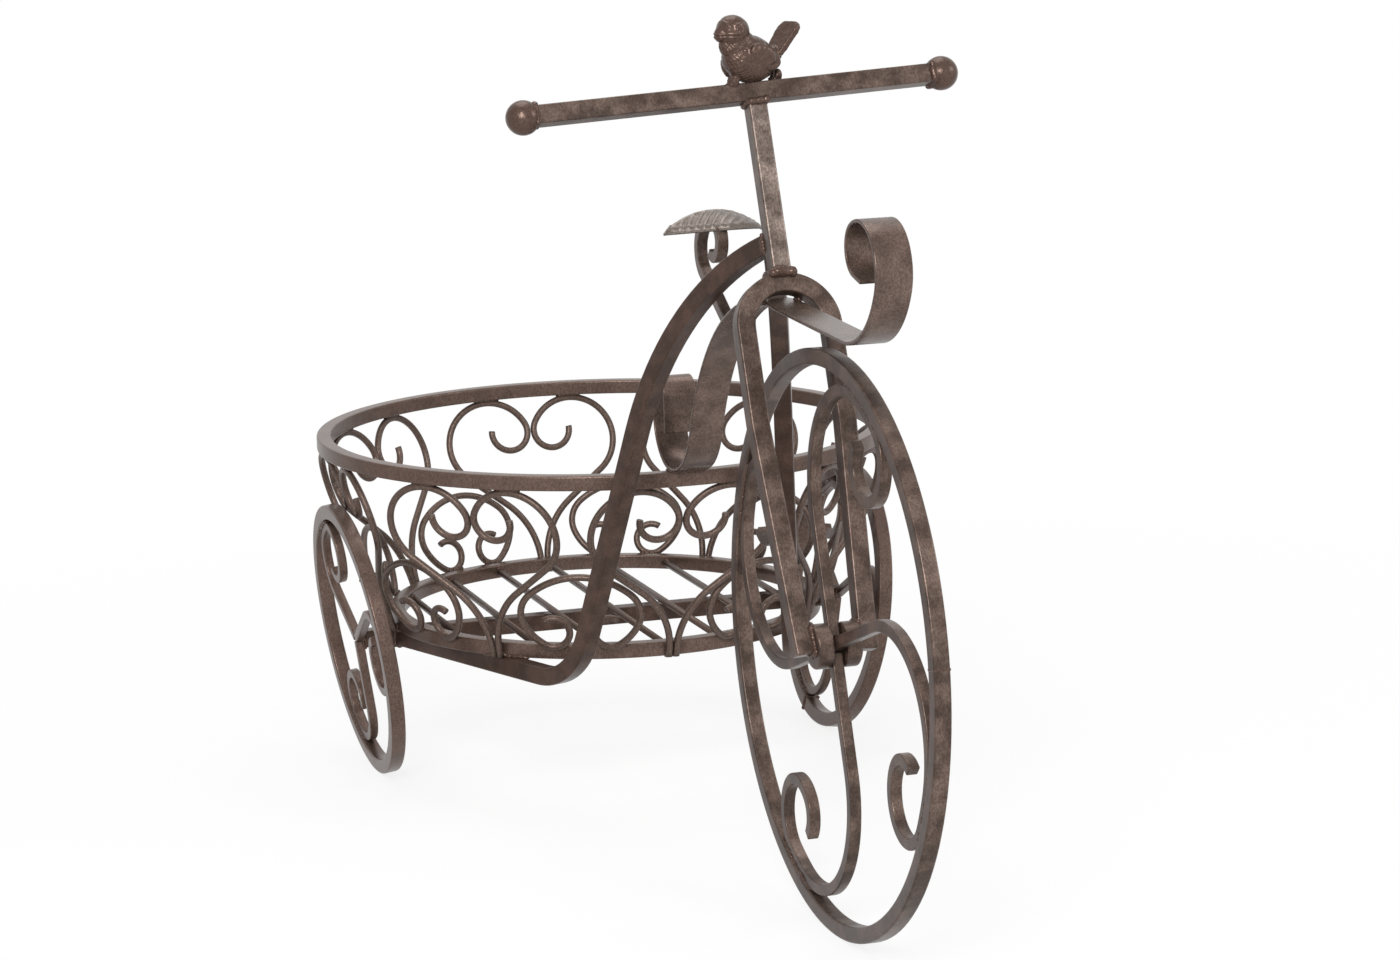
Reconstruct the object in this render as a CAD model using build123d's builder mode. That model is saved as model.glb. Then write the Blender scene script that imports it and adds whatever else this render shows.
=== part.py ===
from build123d import *
from math import asin, atan2, cos, degrees, hypot, radians, sin, sqrt, tan
import os

# A wrought iron tricycle that carries a round plant basket. Its front points to -Y and it stands on Z = 0.
# Lengths are in millimetres, angles in degrees. The origin lies under the middle of the whole tricycle.

os.makedirs("parts", exist_ok=True)

# Bar stock
bar = 10.0
rim_bar = 8.5
front_spoke_bar = 6.0
rear_spoke_bar = 5.0
stem_bar = 6.0
wire = 4.0
strap_width = 19.0
strap_thickness = 2.0

# How far a cutting tool or a blank runs past the face that trims it
overrun = 12.0

# Layout along the tricycle
front_wheel_radius = 150.0
basket_front_reach = 233.5
axle_setback = 8.0
head_angle = 21.9

# Front hub and its pin
pin_diameter = 8.0
pin_clearance = 0.05
pin_end_gap = 0.5
hub_diameter = 23.0
hub_side_gap = 0.4

# Front spokes: straight out, over to the rim, along it and back into a curl
front_spoke_count = 4
front_spoke_base_angle = 70.0
front_spoke_straight_end = 65.0
front_spoke_rim_turn = 8.0
front_curl_radius = 21.0
front_curl_turn = 200.0
front_curl_end_radius = 14.0
front_curl_end_turn = 85.0

# Fork
fork_crown_radius = 23.3
fork_crown_clearance = 38.0
fork_kink_height = 115.0
fork_kink_radius = 60.0
fork_foot_length = 4.0
hub_sleeve_reach = 12.0

# Column, crossbar and its balls
crossbar_rise = 101.5
crossbar_span = 228.8
crossbar_offset = 10.0
crossbar_tilt = 3.0
ball_diameter = 18.0

# Bird, in its own directions: forward along the beak, and up
bird_turn = 15.0
bird_body_half_length = 15.5
bird_body_radius = 11.8
bird_body_slope = 15.0
bird_body_height = 13.0
bird_body_forward = 2.0
bird_head_radius = 9.0
bird_head_height = 27.5
bird_head_forward = 11.0
bird_beak_length = 11.7
bird_beak_radius = 6.5
bird_beak_tip_radius = 2.0
bird_beak_droop_angle = 8.0
bird_tail_root_setback = 12.0
bird_tail_root_drop = 2.0
bird_tail_length = 23.0
bird_tail_root_width = 10.0
bird_tail_tip_width = 11.5
bird_tail_thickness = 4.0
bird_tail_slope = 60.0
bird_leg_diameter = 5.5
bird_leg_spread = 21.0

# Strap: a flat bar on the tricycle's middle plane, curled up at both ends
strap_front_turn = 2.0
strap_front_run = 110.0
strap_front_radii = (50.0, 23.3, 13.0)
strap_front_turns = (66.5, 146.0, 137.0)
strap_front_tail = 10.0
strap_landing_radius = 40.0
strap_rear_radius = 28.0
strap_rear_rise = 11.0
strap_rear_curl_radius = 10.0
strap_rear_tail = 20.0

# Saddle and the stem that curls up to it from the strap
stem_seat_angle = 35.0
stem_heading = 30.0
stem_run = 51.0
stem_radii = (14.0, 22.0, 9.0)
stem_turns = (90.0, 89.0, 190.0)
saddle_length = 55.0
saddle_width = 38.0
saddle_tip_radius = 4.0
saddle_thickness = 2.5
saddle_length_dome_radius = 40.0
saddle_width_dome_radius = 60.0

# Frame bars from the column to the rear axle
frame_top_rise = 21.0
frame_top_heading = 21.0
frame_shoulder_share = 0.99
frame_foot_radius = 45.0
frame_foot_lead = 31.2
frame_end_inset = 26.0

# Rear wheels
rear_wheel_radius = 81.0
rear_track_clearance = 21.5
camber_angle = 8.0
rear_spoke_count = 3
rear_spoke_base_angle = 30.0
rear_spoke_straight_end = 43.5
rear_spoke_rim_turn = 8.0
rear_curl_radius = 16.0
rear_curl_turn = 200.0
rear_curl_end_radius = 11.0
rear_curl_end_turn = 60.0

# Basket
basket_height = 104.7
top_ring_radius = 168.0
basket_flare_reach = 39.5
panel_count = 8
floor_rod_count = 7
heart_gap = 0.2
heart_leg_height = 5.3
heart_start_turn = 52.0
heart_lobe_turns = (105.0, 99.0)
heart_curl_turn = 215.0
heart_lobe_radius_shares = (0.1925, 0.196)
heart_curl_radius_share = 0.085
scroll_weld_gap = 0.4
scroll_radius_shares = (0.315, 0.122, 0.24, 0.068)
scroll_turns = (42.0, 74.0, 30.0, 246.0)


# A bent bar is a list of bends: (length, 0) is a straight and (radius, turn) an arc, left turns positive.
def bend_end(start, heading, bends):
    """Return the place and the heading at which a bent centreline ends."""
    across, up = start
    for size, turn in bends:
        if turn:
            side = 1 if turn > 0 else -1
            across += side * size * (sin(radians(heading + turn)) - sin(radians(heading)))
            up -= side * size * (cos(radians(heading + turn)) - cos(radians(heading)))
            heading += turn
        else:
            across += size * cos(radians(heading))
            up += size * sin(radians(heading))
    return across, up, heading


def draw_bends(start, heading, bends):
    """Draw a bent centreline inside a BuildLine."""
    for size, turn in bends:
        if turn:
            direction = (cos(radians(heading)), sin(radians(heading)))
            piece = JernArc(start=start, tangent=direction, radius=size, arc_size=turn)
        else:
            piece = PolarLine(start, size, heading)
        start = piece @ 1
        heading += turn


def bent_strip(start, heading, bends, width):
    """Fill the strip of one width along a bent centreline, inside a BuildSketch."""
    with BuildLine() as centreline:
        draw_bends(start, heading, bends)
    trace(centreline.line, line_width=width)


def bent_wire(plane, start, heading, bends, diameter):
    """Sweep a round wire along a bent centreline on one plane, inside a BuildPart."""
    with BuildLine(plane) as centreline:
        draw_bends(start, heading, bends)
    path = centreline.wire()
    with BuildSketch(Plane(origin=path @ 0, z_dir=path % 0)) as section:
        Circle(diameter / 2)
    sweep(section.sketch, path=path)


def turned(plane, angle):
    """Return a plane turned about its own normal."""
    across = plane.x_dir * cos(radians(angle)) + plane.y_dir * sin(radians(angle))
    return Plane(origin=plane.origin, x_dir=across, z_dir=plane.z_dir)


def rim_arc_radius(straight_end, path_radius):
    """Return the radius of the arc that leaves a spoke's straight and meets the rim's inside smoothly."""
    return (path_radius**2 - straight_end**2) / (2 * path_radius)


def spoke_bends(root, straight_end, path_radius, rim_turn, curl):
    """Return the bends of one spoke, from its root at the hub to the tip of its curl."""
    arc_radius = rim_arc_radius(straight_end, path_radius)
    arc_turn = 90 + degrees(atan2(arc_radius, straight_end))
    return [(straight_end - root, 0), (arc_radius, arc_turn), (path_radius, rim_turn), *curl]


def write(piece, name):
    """Label a finished piece and write its file."""
    piece.part.label = name
    export_step(piece.part, f"parts/{name}.step")


# Places that several pieces share
basket_reach = basket_front_reach + top_ring_radius
tricycle_length = front_wheel_radius + basket_reach + top_ring_radius
front_y = front_wheel_radius - tricycle_length / 2
front_z = front_wheel_radius
basket_y = front_y + basket_reach
axle_y = basket_y + axle_setback
axle_z = rear_wheel_radius * cos(radians(camber_angle)) + rim_bar / 2 * sin(radians(camber_angle))
bottom_ring_z = axle_z + (bar + rim_bar) / 2
top_ring_z = bottom_ring_z + basket_height
front_wheel_plane = Plane(origin=(0, front_y, front_z), x_dir=(0, 1, 0), z_dir=(1, 0, 0))
fork_crown_height = front_wheel_radius + fork_crown_clearance
crossbar_height = fork_crown_height + crossbar_rise
bottom_ring_radius = top_ring_radius - basket_flare_reach
bottom_ring_inner = bottom_ring_radius - rim_bar
rear_half_track = bottom_ring_radius + rear_track_clearance
head_sin = sin(radians(head_angle))
head_cos = cos(radians(head_angle))

# The fork's plane: its second direction climbs the steering axis and its normal faces forward and up
fork_plane = Plane(origin=(0, front_y, front_z), x_dir=(1, 0, 0), z_dir=(0, -head_cos, head_sin))

# The tricycle's middle plane, drawn in Y and Z
middle_plane = Plane.YZ

# Front wheel
with BuildPart() as front_rim:
    with BuildSketch(front_wheel_plane):
        Circle(front_wheel_radius)
        Circle(front_wheel_radius - rim_bar, mode=Mode.SUBTRACT)
    extrude(amount=rim_bar / 2, both=True)
write(front_rim, "front_wheel_rim")

front_curl = [(front_curl_radius, front_curl_turn), (front_curl_end_radius, front_curl_end_turn)]
front_path_radius = front_wheel_radius - rim_bar - front_spoke_bar / 2
front_bends = spoke_bends(
    pin_diameter / 2, front_spoke_straight_end, front_path_radius, front_spoke_rim_turn, front_curl
)
for number in range(front_spoke_count):
    base = front_spoke_base_angle + number * 360 / front_spoke_count
    with BuildPart() as front_spoke:
        with BuildSketch(turned(front_wheel_plane, base)):
            bent_strip((pin_diameter / 2, 0), 0, front_bends, front_spoke_bar)
        extrude(amount=front_spoke_bar / 2, both=True)
    write(front_spoke, f"front_spoke_{number + 1}")

# Fork: its legs close in a little towards the hub, and the sleeves are trimmed to their inner faces
fork_foot_reach = hub_sleeve_reach + bar / 2
fork_splay = degrees(atan2(fork_crown_radius - fork_foot_reach, fork_kink_height))
fork_kink_run = fork_kink_radius * tan(radians(fork_splay) / 2)
fork_foot_across = fork_foot_reach - fork_foot_length * tan(radians(fork_splay))
fork_lower_run = (fork_kink_height + fork_foot_length) / cos(radians(fork_splay)) - fork_kink_run
fork_upper_run = fork_crown_height - fork_crown_radius - fork_kink_height - fork_kink_run
fork_bends = [
    (fork_lower_run, 0),
    (fork_kink_radius, -fork_splay),
    (fork_upper_run, 0),
    (fork_crown_radius, -180),
    (fork_upper_run, 0),
    (fork_kink_radius, -fork_splay),
    (fork_lower_run, 0),
]
with BuildPart() as fork:
    with BuildSketch(fork_plane):
        bent_strip((-fork_foot_across, -fork_foot_length), 90 + fork_splay, fork_bends, bar)
    extrude(amount=bar / 2, both=True)
write(fork, "fork")

# The pin turns in the sleeves and the spokes are welded round its middle
pin_foot_gap = pin_end_gap + fork_foot_length * tan(radians(fork_splay))
pin_half_length = hub_sleeve_reach - pin_foot_gap
with BuildPart() as front_axle_pin:
    with BuildSketch(front_wheel_plane):
        Circle(pin_diameter / 2)
    extrude(amount=pin_half_length, both=True)
write(front_axle_pin, "front_axle_pin")

hub_inner_reach = front_spoke_bar / 2 + hub_side_gap
leg_inside_reach = fork_foot_reach - bar / 2 / cos(radians(fork_splay))
for side, name in ((-1, "left"), (1, "right")):
    leg_inside = Plane(
        origin=(side * leg_inside_reach, front_y, front_z),
        z_dir=Vector(side * cos(radians(fork_splay)), 0, 0) - fork_plane.y_dir * sin(radians(fork_splay)),
    )
    with BuildPart() as hub_sleeve:
        with BuildSketch(front_wheel_plane.offset(side * hub_inner_reach)):
            Circle(hub_diameter / 2)
            Circle(pin_diameter / 2 + pin_clearance, mode=Mode.SUBTRACT)
        extrude(amount=side * (hub_sleeve_reach - hub_inner_reach + overrun))
        split(bisect_by=leg_inside, keep=Keep.BOTTOM)
    write(hub_sleeve, f"hub_sleeve_{name}")

# Steering column: its foot is coped to the crown and its head is cut to the crossbar's slope
crossbar_centre = fork_plane.origin + fork_plane.y_dir * crossbar_height
crossbar_plane = turned(
    Plane(origin=crossbar_centre, x_dir=fork_plane.x_dir, z_dir=fork_plane.z_dir), crossbar_tilt
)
column_foot = fork_crown_height - bar / 2
with BuildPart() as steering_column:
    with BuildSketch(fork_plane):
        with Locations((0, (column_foot + crossbar_height) / 2)):
            Rectangle(bar, crossbar_height - column_foot)
    extrude(amount=bar / 2, both=True)
    with BuildSketch(fork_plane):
        with Locations((0, fork_crown_height - fork_crown_radius)):
            Circle(fork_crown_radius + bar / 2)
    extrude(amount=bar, both=True, mode=Mode.SUBTRACT)
    underside = Plane(
        origin=crossbar_plane.origin - crossbar_plane.y_dir * bar / 2, z_dir=crossbar_plane.y_dir
    )
    split(bisect_by=underside, keep=Keep.BOTTOM)
write(steering_column, "steering_column")

# Crossbar between two balls, each with a flat that the bar's end covers
ball_radius = ball_diameter / 2
ball_flat = sqrt(ball_radius**2 - bar**2 / 2)
with BuildPart() as crossbar:
    with BuildSketch(crossbar_plane):
        with Locations((-crossbar_offset, 0)):
            Rectangle(crossbar_span - 2 * ball_flat, bar)
    extrude(amount=bar / 2, both=True)
write(crossbar, "handlebar")

for side, name in ((-1, "left"), (1, "right")):
    ball_x = side * crossbar_span / 2 - crossbar_offset
    ball_plane = Plane(
        origin=crossbar_plane.origin + crossbar_plane.x_dir * ball_x, z_dir=crossbar_plane.x_dir * -side
    )
    with BuildPart() as ball:
        with Locations(ball_plane):
            Sphere(ball_radius, arc_size2=degrees(asin(ball_flat / ball_radius)), align=None)
    write(ball, f"handlebar_ball_{name}")

# Bird, perched over the column: its legs are cut to the crossbar's top face
perch = Plane(origin=crossbar_plane.origin + crossbar_plane.y_dir * bar / 2, z_dir=crossbar_plane.y_dir)
bird_forward = Vector(-cos(radians(bird_turn)), -sin(radians(bird_turn)), 0)
bird_plane = Plane(origin=perch.origin, x_dir=bird_forward, z_dir=bird_forward.cross(Vector(0, 0, 1)))
bird_body_centre = bird_plane.from_local_coords((bird_body_forward, bird_body_height, 0))
body_plane = turned(
    Plane(origin=bird_body_centre, x_dir=bird_forward, z_dir=bird_plane.z_dir), bird_body_slope
)
bird_head_centre = bird_plane.from_local_coords((bird_head_forward, bird_head_height, 0))
beak_plane = turned(
    Plane(origin=bird_head_centre, x_dir=bird_forward, z_dir=bird_plane.z_dir), -bird_beak_droop_angle
)
bird_tail_root = bird_plane.from_local_coords(
    (bird_body_forward - bird_tail_root_setback, bird_body_height - bird_tail_root_drop, 0)
)
tail_plane = turned(
    Plane(origin=bird_tail_root, x_dir=-bird_forward, z_dir=-bird_plane.z_dir), bird_tail_slope
)
with BuildPart() as bird:
    with BuildSketch(body_plane):
        with BuildLine():
            back = EllipticalCenterArc(
                (0, 0), bird_body_half_length, bird_body_radius, start_angle=0, arc_size=180
            )
            Line(back @ 1, back @ 0)
        make_face()
    revolve(axis=Axis(body_plane.origin, body_plane.x_dir))
    with Locations(bird_head_centre):
        Sphere(bird_head_radius)
    with BuildSketch(Plane(origin=bird_head_centre, z_dir=beak_plane.x_dir)):
        Circle(bird_beak_radius)
    with BuildSketch(
        Plane(origin=bird_head_centre + beak_plane.x_dir * bird_beak_length, z_dir=beak_plane.x_dir)
    ):
        Circle(bird_beak_tip_radius)
    loft()
    with BuildSketch(Plane(origin=tail_plane.origin, x_dir=tail_plane.x_dir, z_dir=tail_plane.y_dir)):
        with BuildLine():
            Polyline(
                (0, -bird_tail_root_width / 2),
                (bird_tail_length, -bird_tail_tip_width / 2),
                (bird_tail_length, bird_tail_tip_width / 2),
                (0, bird_tail_root_width / 2),
                close=True,
            )
        tail_face = make_face()
        fillet(tail_face.vertices().group_by(Axis.X)[-1], bird_tail_thickness)
    extrude(amount=bird_tail_thickness / 2, both=True)
    for place in (-1, 1):
        leg_foot = bird_plane.from_local_coords((place * bird_leg_spread / 2, -overrun, 0))
        with BuildSketch(Plane(origin=leg_foot)):
            Circle(bird_leg_diameter / 2)
        extrude(amount=overrun + bird_body_height)
    split(bisect_by=perch, keep=Keep.TOP)
write(bird, "bird")

# Strap: it passes under the crown, where its edges touch the arch, and lands on the basket's top ring
arch_inner_radius = fork_crown_radius - bar / 2
arch_contact = fork_crown_height - fork_crown_radius + sqrt(arch_inner_radius**2 - (strap_width / 2) ** 2)
strap_crown_y = front_y + arch_contact * head_sin + bar / 2 * head_cos
strap_crown_z = front_z + arch_contact * head_cos - bar / 2 * head_sin - strap_thickness / 2
strap_landing_y = basket_y - top_ring_radius + rim_bar / 2
strap_landing_z = top_ring_z + rim_bar / 2 + strap_thickness / 2
strap_reach = strap_landing_y - strap_crown_y
strap_drop = strap_crown_z - strap_landing_z
strap_turn = 2 * degrees(atan2(strap_drop, strap_reach))
strap_back_radius = strap_reach / sin(radians(strap_turn)) - strap_landing_radius
strap_front_bends = [(strap_back_radius, strap_front_turn), (strap_front_run, 0)]
for size, turn in zip(strap_front_radii, strap_front_turns):
    strap_front_bends.append((size, -turn))
strap_front_bends.append((strap_front_tail, 0))
strap_rear_bends = [
    (strap_back_radius, -strap_turn),
    (strap_landing_radius, strap_turn),
    (strap_rear_radius, 90),
    (strap_rear_rise, 0),
    (strap_rear_curl_radius, 180),
    (strap_rear_tail, 0),
]
strap_crown = (strap_crown_y, strap_crown_z)
with BuildPart() as strap_scroll:
    with BuildSketch(middle_plane):
        bent_strip(strap_crown, 180, strap_front_bends, strap_thickness)
        bent_strip(strap_crown, 0, strap_rear_bends, strap_thickness)
    extrude(amount=strap_width / 2, both=True)
write(strap_scroll, "strap_scroll")

# Saddle stem: it leaves the strap's outer face, where its foot is coped to the curve
strap_back_centre = (strap_crown_y, strap_crown_z - strap_back_radius)
strap_outer_radius = strap_back_radius + strap_thickness / 2
stem_foot = (
    strap_back_centre[0] + strap_back_radius * sin(radians(stem_seat_angle)),
    strap_back_centre[1] + strap_back_radius * cos(radians(stem_seat_angle)),
)
stem_bends = [(stem_run, 0)]
for size, turn in zip(stem_radii, stem_turns):
    stem_bends.append((size, turn))
with BuildPart() as saddle_stem:
    with BuildSketch(middle_plane):
        bent_strip(stem_foot, stem_heading, stem_bends, stem_bar)
        with Locations(strap_back_centre):
            Circle(strap_outer_radius, mode=Mode.SUBTRACT)
    extrude(amount=stem_bar / 2, both=True)
write(saddle_stem, "saddle_stem")

# Saddle: a domed leaf that lies across, its tip to the left, resting on the top of the stem's loop
to_loop_top = 180 - stem_heading - stem_turns[0]
loop_y, loop_z, _ = bend_end(
    stem_foot, stem_heading, [*stem_bends[:2], (stem_radii[1], to_loop_top)]
)
saddle_under_radius = saddle_length_dome_radius - saddle_thickness
saddle_seat_drop = saddle_under_radius - sqrt(saddle_under_radius**2 - (stem_bar / 2) ** 2)
saddle_top_z = loop_z + stem_bar / 2 + saddle_seat_drop + saddle_thickness
saddle_wide_radius = saddle_width / 2
saddle_dome_centre_z = saddle_top_z - saddle_length_dome_radius
saddle_long_plane = Plane(
    origin=(0, loop_y, saddle_dome_centre_z), x_dir=(1, 0, 0), z_dir=(0, -1, 0)
)
with BuildPart() as saddle:
    with BuildSketch(saddle_long_plane):
        Circle(saddle_length_dome_radius)
        Circle(saddle_under_radius, mode=Mode.SUBTRACT)
        with Locations((0, -saddle_length_dome_radius / 2)):
            Rectangle(2 * saddle_length_dome_radius, saddle_length_dome_radius, mode=Mode.SUBTRACT)
    revolve(axis=Axis((0, loop_y, saddle_top_z - saddle_width_dome_radius), (1, 0, 0)))
    with BuildSketch(Plane.XY.offset(saddle_dome_centre_z)):
        with Locations((saddle_tip_radius - saddle_length / 2, loop_y)):
            Circle(saddle_tip_radius)
        with Locations((saddle_length / 2 - saddle_wide_radius, loop_y)):
            Circle(saddle_wide_radius)
        make_hull()
    extrude(amount=saddle_length_dome_radius, mode=Mode.INTERSECT)
write(saddle, "saddle")

# Frame bars: each is bent on an upright plane, mitred to its twin at the column and cut flush at the axle
frame_top_reach = fork_crown_height + frame_top_rise
frame_top_height = front_z + frame_top_reach * head_cos
frame_top_y = front_y + frame_top_reach * head_sin + bar / 2 / head_cos
axle_front_y = axle_y - bar / 2
frame_reach = axle_front_y - frame_top_y
frame_spread_angle = degrees(atan2(rear_half_track - frame_end_inset, frame_reach))
frame_run = frame_reach / cos(radians(frame_spread_angle))

# Each bar comes level a named lead ahead of the bottom ring
spread_sin = sin(radians(frame_spread_angle))
spread_cos = cos(radians(frame_spread_angle))
ring_ahead = basket_y - frame_top_y
ring_crossing = ring_ahead * spread_cos - sqrt(bottom_ring_radius**2 - (ring_ahead * spread_sin) ** 2)
frame_foot_end = ring_crossing - frame_foot_lead

# The straight is the line that touches the shoulder's circle and the foot's circle
frame_shoulder_radius = frame_shoulder_share * frame_foot_end
shoulder_centre_across = -frame_shoulder_radius * sin(radians(frame_top_heading))
shoulder_centre_z = frame_top_height - frame_shoulder_radius * cos(radians(frame_top_heading))
centres_apart = frame_foot_end - shoulder_centre_across
centres_climb = axle_z + frame_foot_radius - shoulder_centre_z
radii_sum = frame_shoulder_radius + frame_foot_radius
frame_straight = sqrt(centres_apart**2 + centres_climb**2 - radii_sum**2)
frame_slope_heading = degrees(atan2(radii_sum, frame_straight) - atan2(centres_climb, centres_apart))
frame_bends = [
    (overrun, 0),
    (frame_shoulder_radius, frame_top_heading - frame_slope_heading),
    (frame_straight, 0),
    (frame_foot_radius, frame_slope_heading),
    (frame_run - frame_foot_end + overrun, 0),
]
frame_start = bend_end((0, frame_top_height), 180 - frame_top_heading, [(overrun, 0)])[:2]
column_back = Plane(
    origin=fork_plane.origin - fork_plane.z_dir * bar / 2, z_dir=-fork_plane.z_dir
)
axle_front = Plane(origin=(0, axle_front_y, 0), z_dir=(0, -1, 0))
for side, name in ((-1, "left"), (1, "right")):
    frame_direction = (side * sin(radians(frame_spread_angle)), cos(radians(frame_spread_angle)), 0)
    frame_plane = Plane(
        origin=(0, frame_top_y, 0),
        x_dir=frame_direction,
        z_dir=Vector(frame_direction).cross(Vector(0, 0, 1)),
    )
    with BuildPart() as frame_bar:
        with BuildSketch(frame_plane):
            bent_strip(frame_start, -frame_top_heading, frame_bends, bar)
        extrude(amount=bar / 2, both=True)
        split(bisect_by=Plane(origin=(0, 0, 0), z_dir=(side, 0, 0)), keep=Keep.TOP)
        split(bisect_by=column_back, keep=Keep.TOP)
        split(bisect_by=axle_front, keep=Keep.TOP)
    write(frame_bar, f"frame_bar_{name}")

# Rear wheels, their tops leaning outward, on an axle whose ends are cut to the same slope
rear_curl = [(rear_curl_radius, rear_curl_turn), (rear_curl_end_radius, rear_curl_end_turn)]
rear_path_radius = rear_wheel_radius - rim_bar - rear_spoke_bar / 2
rear_spoke_root = rear_spoke_bar / 2 / tan(radians(180 / rear_spoke_count))
rear_bends = spoke_bends(
    rear_spoke_root, rear_spoke_straight_end, rear_path_radius, rear_spoke_rim_turn, rear_curl
)
rear_wheel_planes = {}
for side, name in ((-1, "left"), (1, "right")):
    rear_wheel_planes[name] = Plane(
        origin=(side * rear_half_track, axle_y, axle_z),
        x_dir=(0, 1, 0),
        z_dir=(cos(radians(camber_angle)), 0, -side * sin(radians(camber_angle))),
    )
for name, rear_plane in rear_wheel_planes.items():
    with BuildPart() as rear_rim:
        with BuildSketch(rear_plane):
            Circle(rear_wheel_radius)
            Circle(rear_wheel_radius - rim_bar, mode=Mode.SUBTRACT)
        extrude(amount=rim_bar / 2, both=True)
    write(rear_rim, f"rear_rim_{name}")
    for number in range(rear_spoke_count):
        base = rear_spoke_base_angle + number * 360 / rear_spoke_count
        with BuildPart() as rear_spoke:
            with BuildSketch(turned(rear_plane, base)):
                bent_strip((rear_spoke_root, 0), 0, rear_bends, rear_spoke_bar)
            extrude(amount=rear_spoke_bar / 2, both=True)
        write(rear_spoke, f"rear_spoke_{name}_{number + 1}")

with BuildPart() as rear_axle:
    with BuildSketch(Plane(origin=(0, axle_y, axle_z), x_dir=(0, 1, 0), z_dir=(1, 0, 0))):
        Rectangle(bar, bar)
    extrude(amount=rear_half_track + overrun, both=True)
    split(bisect_by=rear_wheel_planes["left"].offset(rear_spoke_bar / 2), keep=Keep.TOP)
    split(bisect_by=rear_wheel_planes["right"].offset(-rear_spoke_bar / 2), keep=Keep.BOTTOM)
write(rear_axle, "rear_axle")

# Basket rings and floor rods
with BuildPart() as bottom_ring:
    with BuildSketch(Plane(origin=(0, basket_y, bottom_ring_z))):
        Circle(bottom_ring_radius)
        Circle(bottom_ring_inner, mode=Mode.SUBTRACT)
    extrude(amount=rim_bar / 2, both=True)
write(bottom_ring, "basket_bottom_ring")

with BuildPart() as top_ring:
    with BuildSketch(Plane(origin=(0, basket_y, top_ring_z))):
        Circle(top_ring_radius)
        Circle(top_ring_radius - rim_bar, mode=Mode.SUBTRACT)
    extrude(amount=rim_bar / 2, both=True)
write(top_ring, "basket_top_ring")

floor_rod_pitch = 2 * bottom_ring_inner / floor_rod_count
for number in range(floor_rod_count):
    rod_x = (number - (floor_rod_count - 1) / 2) * floor_rod_pitch
    with BuildPart() as floor_rod:
        with BuildSketch(Plane(origin=(rod_x, basket_y, bottom_ring_z), z_dir=(0, 1, 0))):
            Circle(wire / 2)
        extrude(amount=bottom_ring_inner, both=True)
        with BuildSketch(Plane(origin=(0, basket_y, bottom_ring_z))):
            Circle(bottom_ring_inner)
        extrude(amount=wire, both=True, mode=Mode.INTERSECT)
    write(floor_rod, f"basket_floor_rod_{number + 1}")

# Basket panels: each lies flat on a plane that leans out, and its place on the ring is an angle
under_top_ring = top_ring_z - rim_bar / 2 - wire / 2
bottom_ring_low = bottom_ring_z - rim_bar / 2
bottom_ring_high = bottom_ring_z + rim_bar / 2
heart_side = wire / 2 + heart_gap / 2

# The slanted run of a heart is as long as brings its curl back beside its twin
panel_pitch = 2 * (top_ring_radius - rim_bar / 2) * tan(radians(180 / panel_count))
heart_lobe_bends = []
for share, turn in zip(heart_lobe_radius_shares, heart_lobe_turns):
    heart_lobe_bends.append((share * panel_pitch, turn))
heart_curl_radius = heart_curl_radius_share * panel_pitch
heart_slant = 90 - heart_start_turn
heart_hook_turn = 270 - heart_slant - sum(heart_lobe_turns)
hook_bends = [*heart_lobe_bends, (heart_curl_radius, heart_hook_turn)]
hook_back, _, _ = bend_end((0, 0), heart_slant, hook_bends)
lobe_top_turn = 180 - heart_slant - heart_lobe_turns[0]
lobe_top_bends = [heart_lobe_bends[0], (heart_lobe_bends[1][0], lobe_top_turn)]
lobe_top_across, lobe_top_up, _ = bend_end((0, 0), heart_slant, lobe_top_bends)
lobe_top_x = heart_side - hook_back + lobe_top_across

# The lobes meet the underside of the top ring below its centreline
top_centre_radius = top_ring_radius - rim_bar / 2
panel_top_reach = sqrt(top_centre_radius**2 - lobe_top_x**2)
panel_run = panel_top_reach - bottom_ring_radius
panel_rise = under_top_ring - bottom_ring_low
flare = degrees(atan2(panel_run, panel_rise) - asin(wire / 2 / hypot(panel_run, panel_rise)))
flare_sin = sin(radians(flare))
flare_cos = cos(radians(flare))


def panel_plane(angle, edge_radius, edge_z, stand_off):
    """Return the leaning plane of a panel that passes outside a ring's edge by a stand-off."""
    outward = Vector(cos(radians(angle)), sin(radians(angle)), 0)
    normal = outward * flare_cos - Vector(0, 0, 1) * flare_sin
    edge = Vector(0, basket_y, edge_z) + outward * edge_radius
    return Plane(
        origin=edge + normal * stand_off,
        x_dir=(-sin(radians(angle)), cos(radians(angle)), 0),
        z_dir=normal,
    )


panel_length = (under_top_ring - bottom_ring_low + wire / 2 * flare_sin) / flare_cos

# The first bend of a heart is as large as brings its lobes up to the top ring
slant_tan = tan(radians(heart_slant))
start_across_share = 1 - cos(radians(heart_start_turn))
start_up_share = sin(radians(heart_start_turn)) - slant_tan * start_across_share
lobes_rise = panel_length - heart_leg_height
heart_start_radius = (lobes_rise - lobe_top_up + hook_back * slant_tan) / start_up_share
heart_slant_across = -hook_back - heart_start_radius * start_across_share
heart_bends = [
    (heart_leg_height + overrun, 0),
    (heart_start_radius, -heart_start_turn),
    (heart_slant_across / cos(radians(heart_slant)), 0),
    *heart_lobe_bends,
    (heart_curl_radius, heart_curl_turn),
]
heart_floor = Plane.XY.offset(bottom_ring_low)
for number in range(panel_count):
    angle = number * 360 / panel_count - 90
    plane = panel_plane(angle, bottom_ring_radius, bottom_ring_low, wire / 2)
    with BuildPart() as heart:
        bent_wire(plane, (heart_side, -overrun), 90, heart_bends, wire)
        split(bisect_by=heart_floor, keep=Keep.TOP)
        mirror(about=Plane(origin=plane.origin, z_dir=plane.x_dir))
    write(heart, f"basket_heart_{number + 1}")

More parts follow.
